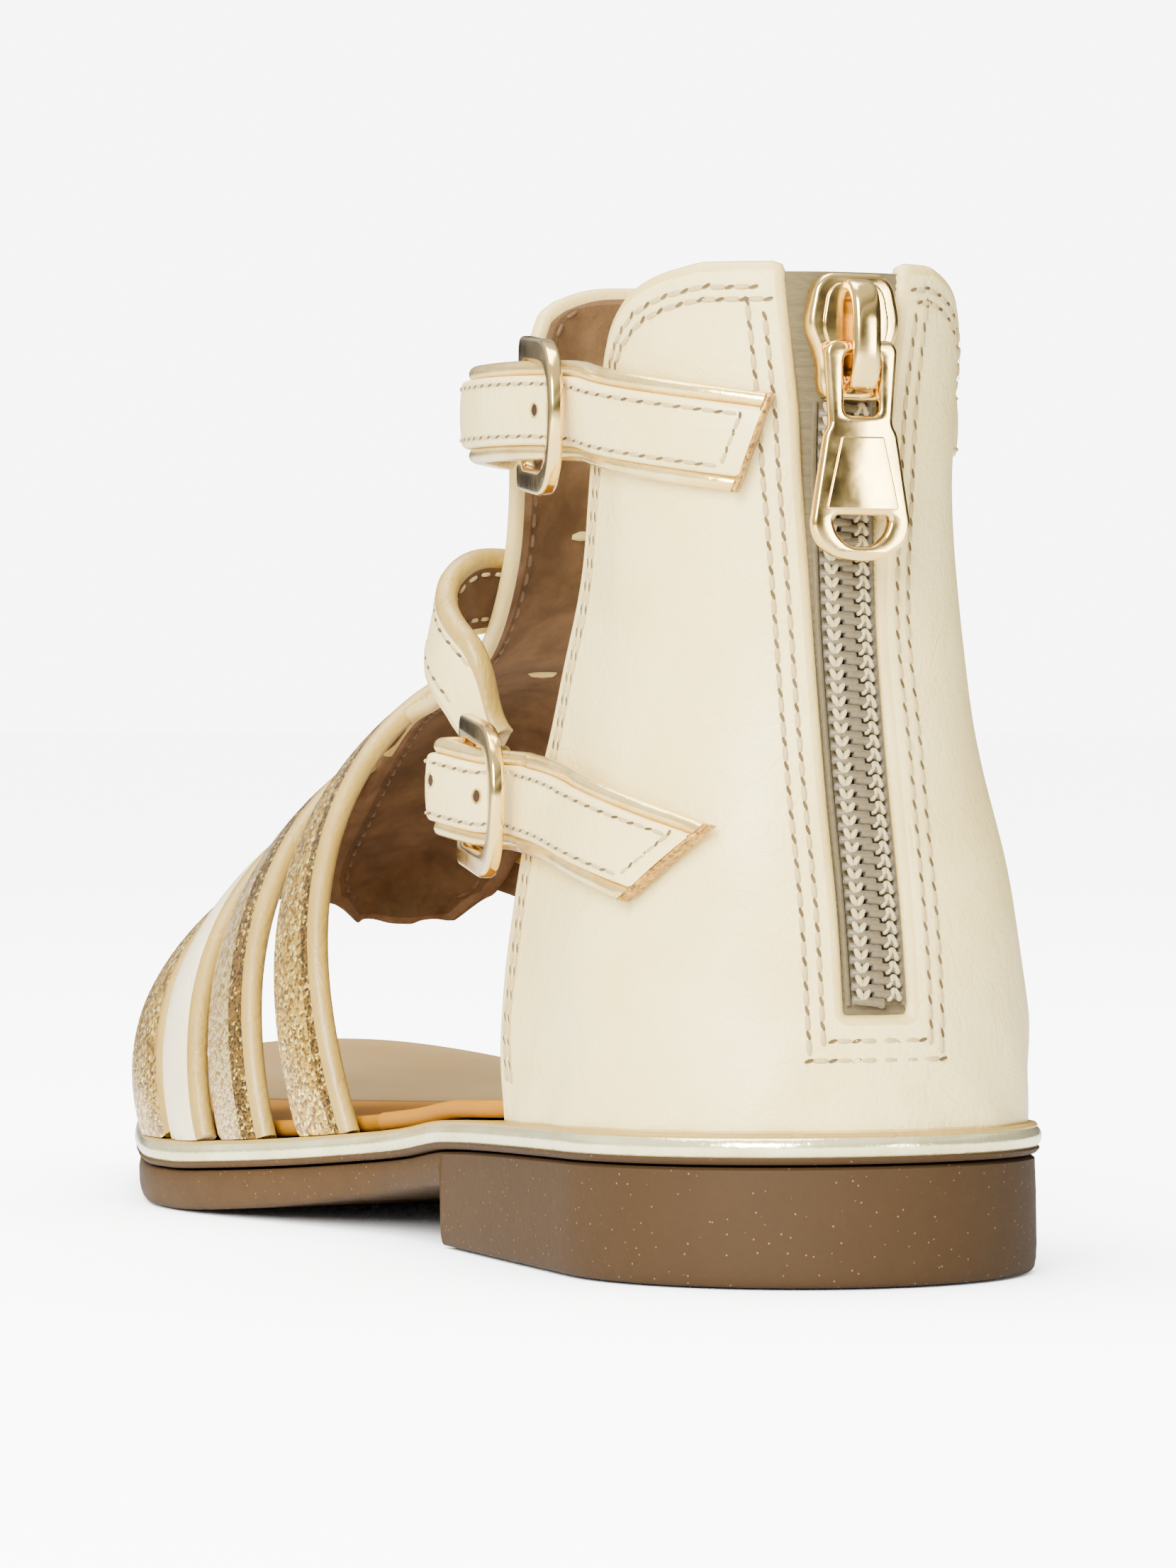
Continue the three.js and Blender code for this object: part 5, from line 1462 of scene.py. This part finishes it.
# Ankle strap
ANKLE_OUTER = [
    (-0.452, 0.68, 0.873), (-0.478, 0.82, 0.875), (-0.48, 0.98, 0.876), (-0.44, 1.15, 0.877),
]
ANKLE_INNER = [
    (0.43, 1.15, 0.876), (0.49, 0.98, 0.872), (0.45, 0.81, 0.868), (0.33, 0.69, 0.865), (0.222, 0.6, 0.862),
]
ankle_rows = tail_rows((0.182, 0.833), (0.66, 0.87)) + [free(*row) for row in ANKLE_OUTER]
ankle_rows += [on_panel(0.878, share, -SINK) for share in (-0.8, -0.3, 0.3, 0.8)]
ankle_rows += [free(*row) for row in ANKLE_INNER]
ankle_rows += [on_heel(MEDIAL, round_, up, FOIL + OVERLAY) for round_, up in ((0.56, 0.86), (0.46, 0.858))]
ANKLE = stations_along(ankle_rows, 150)
build_buckle_strap("ankle_strap", ANKLE, 0.22)
build_holes("ankle_strap_holes", ANKLE, [(31, 0)])

# Lower buckle strap, folded round the straight bar of its buckle
LOWER_ROUTE = [(-0.503, 0.93, 0.477), (-0.522, 1.02, 0.482), (-0.535, 1.1, 0.487)]
lower_rows = tail_rows((0.4, 0.416), (0.98, 0.472), 0.011) + [free(*row) for row in LOWER_ROUTE]
lower_line = stations_along(lower_rows, 60)
lower_end = lower_line[-1][0]
lower_ahead = (lower_end - lower_line[-2][0]).normalized()
lower_in = -UP.cross(lower_ahead).normalized()
fold_radius = BUCKLE_THICKNESS / 2 + GAP + FACET
fold_centre = lower_end + lower_in * fold_radius
folded = []
for t in spread(14)[1:]:
    turn = t * math.pi
    folded.append((fold_centre - lower_in * (fold_radius * math.cos(turn))
                   + lower_ahead * (fold_radius * math.sin(turn)), UP.copy()))
folded.append((folded[-1][0] - lower_ahead * 5, UP.copy()))
LOWER = lower_line + folded
build_buckle_strap("lower_buckle_strap_dressed", LOWER, 0.72, replaces="lower_buckle_strap")
build_holes("lower_strap_holes", LOWER, [(36, 0.2), (45, 0.8)])


# Buckles: rounded D rings

RING_FULLNESS = 2.4
RING_BAND = BUCKLE_BAND + 0.6
RING_BEVEL = 0.42


def buckle_outline(inset):
    """Outline of a D ring, straight at its bar and full at its curve."""
    half = BUCKLE_HEIGHT / 2 - inset
    start = -BUCKLE_BAND / 2 + inset
    end = BUCKLE_LENGTH - BUCKLE_BAND / 2 - inset
    curve = min(half, BUCKLE_LENGTH * 0.45)
    corner = []
    power = 2 / RING_FULLNESS
    for t in spread(24):
        turn = t * math.pi / 2
        corner.append((end - curve + curve * math.sin(turn) ** power, half * math.cos(turn) ** power))
    under = [(s, -a) for s, a in reversed(corner[:-1])]
    return straight_bar(start, half) + corner + under


def straight_bar(start, half, radius=1.5, steps=5):
    """Rounded corners at both ends of the straight bar, from the lower one up."""
    points = []
    for t in spread(steps):
        turn = math.pi / 2 * t
        points.append((start + radius - radius * math.sin(turn), -half + radius - radius * math.cos(turn)))
    for t in spread(steps):
        turn = math.pi / 2 * t
        points.append((start + radius - radius * math.cos(turn), half - radius + radius * math.sin(turn)))
    return points


def build_buckle(name, start, curve, node):
    way = (curve - start).normalized()
    side = (UP - way * UP.dot(way)).normalized()
    shape = Shape()
    shape.add(*plate_mesh([buckle_outline(0), buckle_outline(RING_BAND)], BUCKLE_THICKNESS, RING_BEVEL,
                          (way, side, way.cross(side)), start))
    make_piece(name, shape, [GOLD], 40, replaces=node)


build_buckle("ankle_buckle_ring", free(-0.452, 0.86, 0.874)[0], free(-0.518, 0.475, 0.858)[0],
             "ankle_buckle")
build_buckle("lower_buckle_ring", fold_centre - lower_ahead * (BUCKLE_BAND / 2),
             free(-0.56, 0.73, 0.468)[0], "lower_buckle")


# Middle strap: cream outside, brown inside, with rolled edges; its outer end is free
MIDDLE_OUTER = [
    (-0.405, 1.11, 0.548, 0.35), (-0.423, 1.14, 0.563, 0.4), (-0.463, 1.195, 0.597, 0.5),
    (-0.485, 1.26, 0.625, 0.6), (-0.475, 1.34, 0.648, 0.65), (-0.445, 1.4, 0.668, 0.6),
    (-0.38, 1.445, 0.69, 0.5),
]
MIDDLE_INNER = [
    (0.38, 1.45, 0.697, 0.5), (0.5, 1.44, 0.68, 0.3), (0.61, 1.35, 0.65, 0.3), (0.64, 1.2, 0.613, 0.3),
    (0.54, 1.01, 0.565, 0.3), (0.32, 0.86, 0.535, 0.2),
]
middle_rows = [free(*row) for row in MIDDLE_OUTER]
middle_rows += [on_panel(0.715, share, STRAP / 2 - SINK) for share in (-0.75, -0.3, 0.3, 0.75)]
middle_rows += [free(*row) for row in MIDDLE_INNER]
middle_rows += [on_heel(MEDIAL, round_, up, STRAP / 2) for round_, up in ((0.77, 0.522), (0.65, 0.51))]
MIDDLE = stations_along(middle_rows, 170)


END_LENGTH = 9
END_WIDTH = 0.5
END_SIDE = -1
MIDDLE_WIDTH = CROSS_WIDTH - 0.6
MIDDLE_SEAM = 2.7
MIDDLE_SEWN = slice(18, -2)


def tapered(rings):
    """Rings of the middle strap drawn in towards one edge over its free end."""
    out = []
    for ring, (place, _), (_, wide, _), gone in zip(rings, MIDDLE, band_axes(MIDDLE), distances(MIDDLE)):
        kept = mix(END_WIDTH, 1, smooth(min(gone / END_LENGTH, 1)))
        hold = place + wide * (END_SIDE * CROSS_WIDTH / 2)
        out.append([p - wide * ((p - hold).dot(wide) * (1 - kept)) for p in ring])
    return out


def build_middle_strap():
    shape = Shape()
    section = rounded(MIDDLE_WIDTH, STRAP, 0.85, base=-STRAP / 2, dome=0.15, steps=5)
    shape.loft(tapered(band_rings(MIDDLE, section)), ring_marks=skin_marks(section, MIDDLE_WIDTH, 0.75))
    shape.loft(tapered(band_rings(MIDDLE, circle(1.2, CROSS_WIDTH / 2 - 1.05, 0.05))), 3)
    shape.loft(tapered(band_rings(MIDDLE, circle(0.95, 0.75 - CROSS_WIDTH / 2, 0.0))), 2)
    make_piece("middle_strap", shape, [CREAM, LINING, CREAM_EDGE, ROLLED_EDGE], 60)
    axes = band_axes(MIDDLE)
    thread = Shape()
    for side in (-1, 1):
        for skin in (-1, 1):
            path = []
            for (place, _), (_, wide, out) in zip(MIDDLE[MIDDLE_SEWN], axes[MIDDLE_SEWN]):
                on_skin = place + wide * (side * MIDDLE_SEAM) + out * (skin * (STRAP / 2 + 0.05))
                path.append((on_skin, out * skin))
            sewn(thread, path, pitch=STRAP_PITCH, width=0.5, height=0.22, mark_radius=0.22)
    make_piece("middle_strap_stitching", thread, [THREAD, NEEDLE_HOLE_SHADE], 60)


build_middle_strap()


# Toe straps, from the toe back

ARCH_STEPS = 40
FOOT_LENGTH = 1.5
BULGE_PEAK = 2 / math.sqrt(27)


def arch_point(strap, turn):
    """Point of a toe strap's arch, from -1 at its outer foot over 0 at the crown to 1 inside."""
    outer_foot, inner_foot, crown_share, outer_bulge, inner_bulge = strap
    side = LATERAL if turn < 0 else MEDIAL
    foot_y = (outer_foot if side == LATERAL else inner_foot) * SOLE_LENGTH
    bulge = (outer_bulge if side == LATERAL else inner_bulge) * BALL_WIDTH
    foot_x = sole_edge(side, foot_y) - side * (GAP + STRAP / 2 + 0.2)
    foot_z = midsole_top(foot_y) + GAP
    crown = panel_point(panel_share(1, crown_share * SOLE_LENGTH), 0, STRAP / 2 - SINK)
    s, c = math.sin(abs(turn) * math.pi / 2), math.cos(abs(turn) * math.pi / 2)
    return Vector((crown.x + (foot_x - crown.x) * s + side * bulge * (s * s * c) / BULGE_PEAK,
                   mix(foot_y, crown.y, c), mix(foot_z, crown.z, c)))


def toe_stations(index):
    """Stations from the inner foot of a toe strap over the instep to its outer foot."""
    strap = TOE_STRAPS[index]
    neighbour = TOE_STRAPS[index - 1 if index > 0 else 1]
    way = 1 if index > 0 else -1
    stations = []
    for k in range(2 * ARCH_STEPS + 1):
        turn = 1 - k / ARCH_STEPS
        place = arch_point(strap, turn)
        across = (arch_point(neighbour, turn) - place) * way
        across.normalize()
        flat = min(max((abs(turn) - 0.75) / 0.25, 0), 1)
        across.z *= 1 - smooth(flat)
        stations.append((place, across.normalized()))
    ends = []
    for (place, across), (inward, _) in ((stations[0], stations[1]), (stations[-1], stations[-2])):
        ends.append((place + (place - inward).normalized() * FOOT_LENGTH, across))
    return [ends[0], *stations, ends[1]]


def above_rand(rings):
    return [[Vector((p.x, p.y, max(p.z, midsole_top(p.y) + 0.1))) for p in ring] for ring in rings]


def build_toe_strap(index, name, face, band_finish=None, band_width=0.0):
    stations = toe_stations(index)
    shape = Shape()
    section = rounded(TOE_WIDTH - 0.3, STRAP, 0.95, base=-STRAP / 2, dome=0.55, shift=0.1, steps=6)
    marks = []
    for (a, n), (b, m) in zip(section, section[1:] + section[:1]):
        rear = (a + b) / 2 < -TOE_WIDTH / 2 + 2.1 + band_width
        marks.append(2 if (n + m) / 2 < -0.4 else (1 if rear and band_finish else 0))
    shape.loft(above_rand(band_rings(stations, section)), ring_marks=marks)
    roll = circle(1.2, 1.0 - TOE_WIDTH / 2, 0.05, 16)
    shape.loft(above_rand(band_rings(stations, roll)), 3)
    make_piece(name, shape, [face, band_finish or face, LINING, ROLLED_EDGE], 60)


build_toe_strap(0, "toe_strap_front", GLITTER)
build_toe_strap(1, "toe_strap_white", SATIN)
build_toe_strap(2, "toe_strap_pale_glitter", GLITTER_PALE, GLITTER_DARK, 1.2)
build_toe_strap(3, "toe_strap_rear", GLITTER, GLITTER_DARK, 0.7)


# Floor and light

FLOOR_SIZE = 12
BACKDROP = 7.6
CARD_WHITE = 6.3
SHADOW_REACH = 0.07
SHADOW_POWER = 1.5
# Brightness of the room by height, tilted to the left
ROOM_LEVELS = [(0.0, 0.08), (0.12, 0.3), (0.26, 1.1), (0.34, 0.3), (0.62, 1.2)]
ROOM_TILT = -0.45


def build_floor():
    """White card that glows for the camera alone, less where the shoe is near it: a painted contact shadow.
    """
    mesh = bpy.data.meshes.new("floor")
    work = bmesh.new()
    bmesh.ops.create_grid(work, x_segments=8, y_segments=8, size=FLOOR_SIZE)
    work.to_mesh(mesh)
    work.free()
    card = Finish("matt white studio card", "F2F2F1", 0.9, Specular_IOR_Level=0.1)
    card.link(card.blend(card.noise(60), "F4F4F3", "F0F0EE"), "Base Color")
    ray = card.node("ShaderNodeLightPath")
    near = card.node("ShaderNodeAmbientOcclusion", {"Distance": SHADOW_REACH, "samples": 12})
    glow = card.math("MULTIPLY", card.math("POWER", near.outputs["AO"], SHADOW_POWER), CARD_WHITE)
    white = card.node("ShaderNodeEmission", {"Color": hexa("FFFFFF")}, Strength=glow)
    plain = card.shader.outputs[0]
    both = card.node("ShaderNodeAddShader", i0=plain, i1=white.outputs[0])
    pick = card.node("ShaderNodeMixShader", i0=ray.outputs["Is Camera Ray"], i1=plain, i2=both.outputs[0])
    card.tree.links.new(pick.outputs[0], card.tree.nodes["Material Output"].inputs["Surface"])
    mesh.materials.append(card.material)
    floor = bpy.data.objects.new("floor", mesh)
    floor.location = (0, 0, -0.0002)
    bpy.context.scene.collection.objects.link(floor)


def soft_light(name, place, size, power):
    """White softbox, aimed at the middle of the shoe; place and size are in metres."""
    light = bpy.data.lights.new(name, "AREA")
    light.shape = "RECTANGLE"
    light.size, light.size_y = size
    light.energy = power
    lamp = bpy.data.objects.new(name, light)
    lamp.location = place
    lamp.rotation_euler = (Vector((0, 0, 0.04)) - Vector(place)).to_track_quat("-Z", "Y").to_euler()
    bpy.context.scene.collection.objects.link(lamp)


def build_world():
    """White backdrop for the camera; the room round the shoe is brighter above and at the left."""
    world = bpy.data.worlds.new("studio")
    bpy.context.scene.world = world
    world.use_nodes = True
    tree = world.node_tree
    room = tree.nodes["Background"]
    seen = tree.nodes.new("ShaderNodeBackground")
    seen.inputs["Color"].default_value = hexa("FFFFFF")
    seen.inputs["Strength"].default_value = BACKDROP
    where = tree.nodes.new("ShaderNodeTexCoord")
    parts = tree.nodes.new("ShaderNodeSeparateXYZ")
    ramp = tree.nodes.new("ShaderNodeValToRGB")
    tilt = tree.nodes.new("ShaderNodeMath")
    tilt.operation = "MULTIPLY_ADD"
    tilt.inputs[1].default_value = ROOM_TILT
    tree.links.new(where.outputs["Generated"], parts.inputs[0])
    tree.links.new(parts.outputs[0], tilt.inputs[0])
    tree.links.new(parts.outputs[2], tilt.inputs[2])
    tree.links.new(tilt.outputs[0], ramp.inputs[0])
    while len(ramp.color_ramp.elements) < len(ROOM_LEVELS):
        ramp.color_ramp.elements.new(0.5)
    for element, (at, level) in zip(ramp.color_ramp.elements, ROOM_LEVELS):
        element.position = at
        element.color = (level, level * 0.985, level * 0.95, 1)
    tree.links.new(ramp.outputs["Color"], room.inputs["Color"])
    room.inputs["Strength"].default_value = 1.0
    ray = tree.nodes.new("ShaderNodeLightPath")
    pick = tree.nodes.new("ShaderNodeMixShader")
    tree.links.new(ray.outputs["Is Camera Ray"], pick.inputs[0])
    tree.links.new(room.outputs[0], pick.inputs[1])
    tree.links.new(seen.outputs[0], pick.inputs[2])
    tree.links.new(pick.outputs[0], tree.nodes["World Output"].inputs["Surface"])


build_floor()
build_world()
soft_light("softbox_key", (-0.62, -0.85, 0.5), (0.45, 0.6), 42)
soft_light("softbox_side", (0.52, -1.05, 0.08), (0.2, 0.4), 5)
soft_light("softbox_top", (-0.15, 0.1, 1.1), (0.8, 0.8), 26)
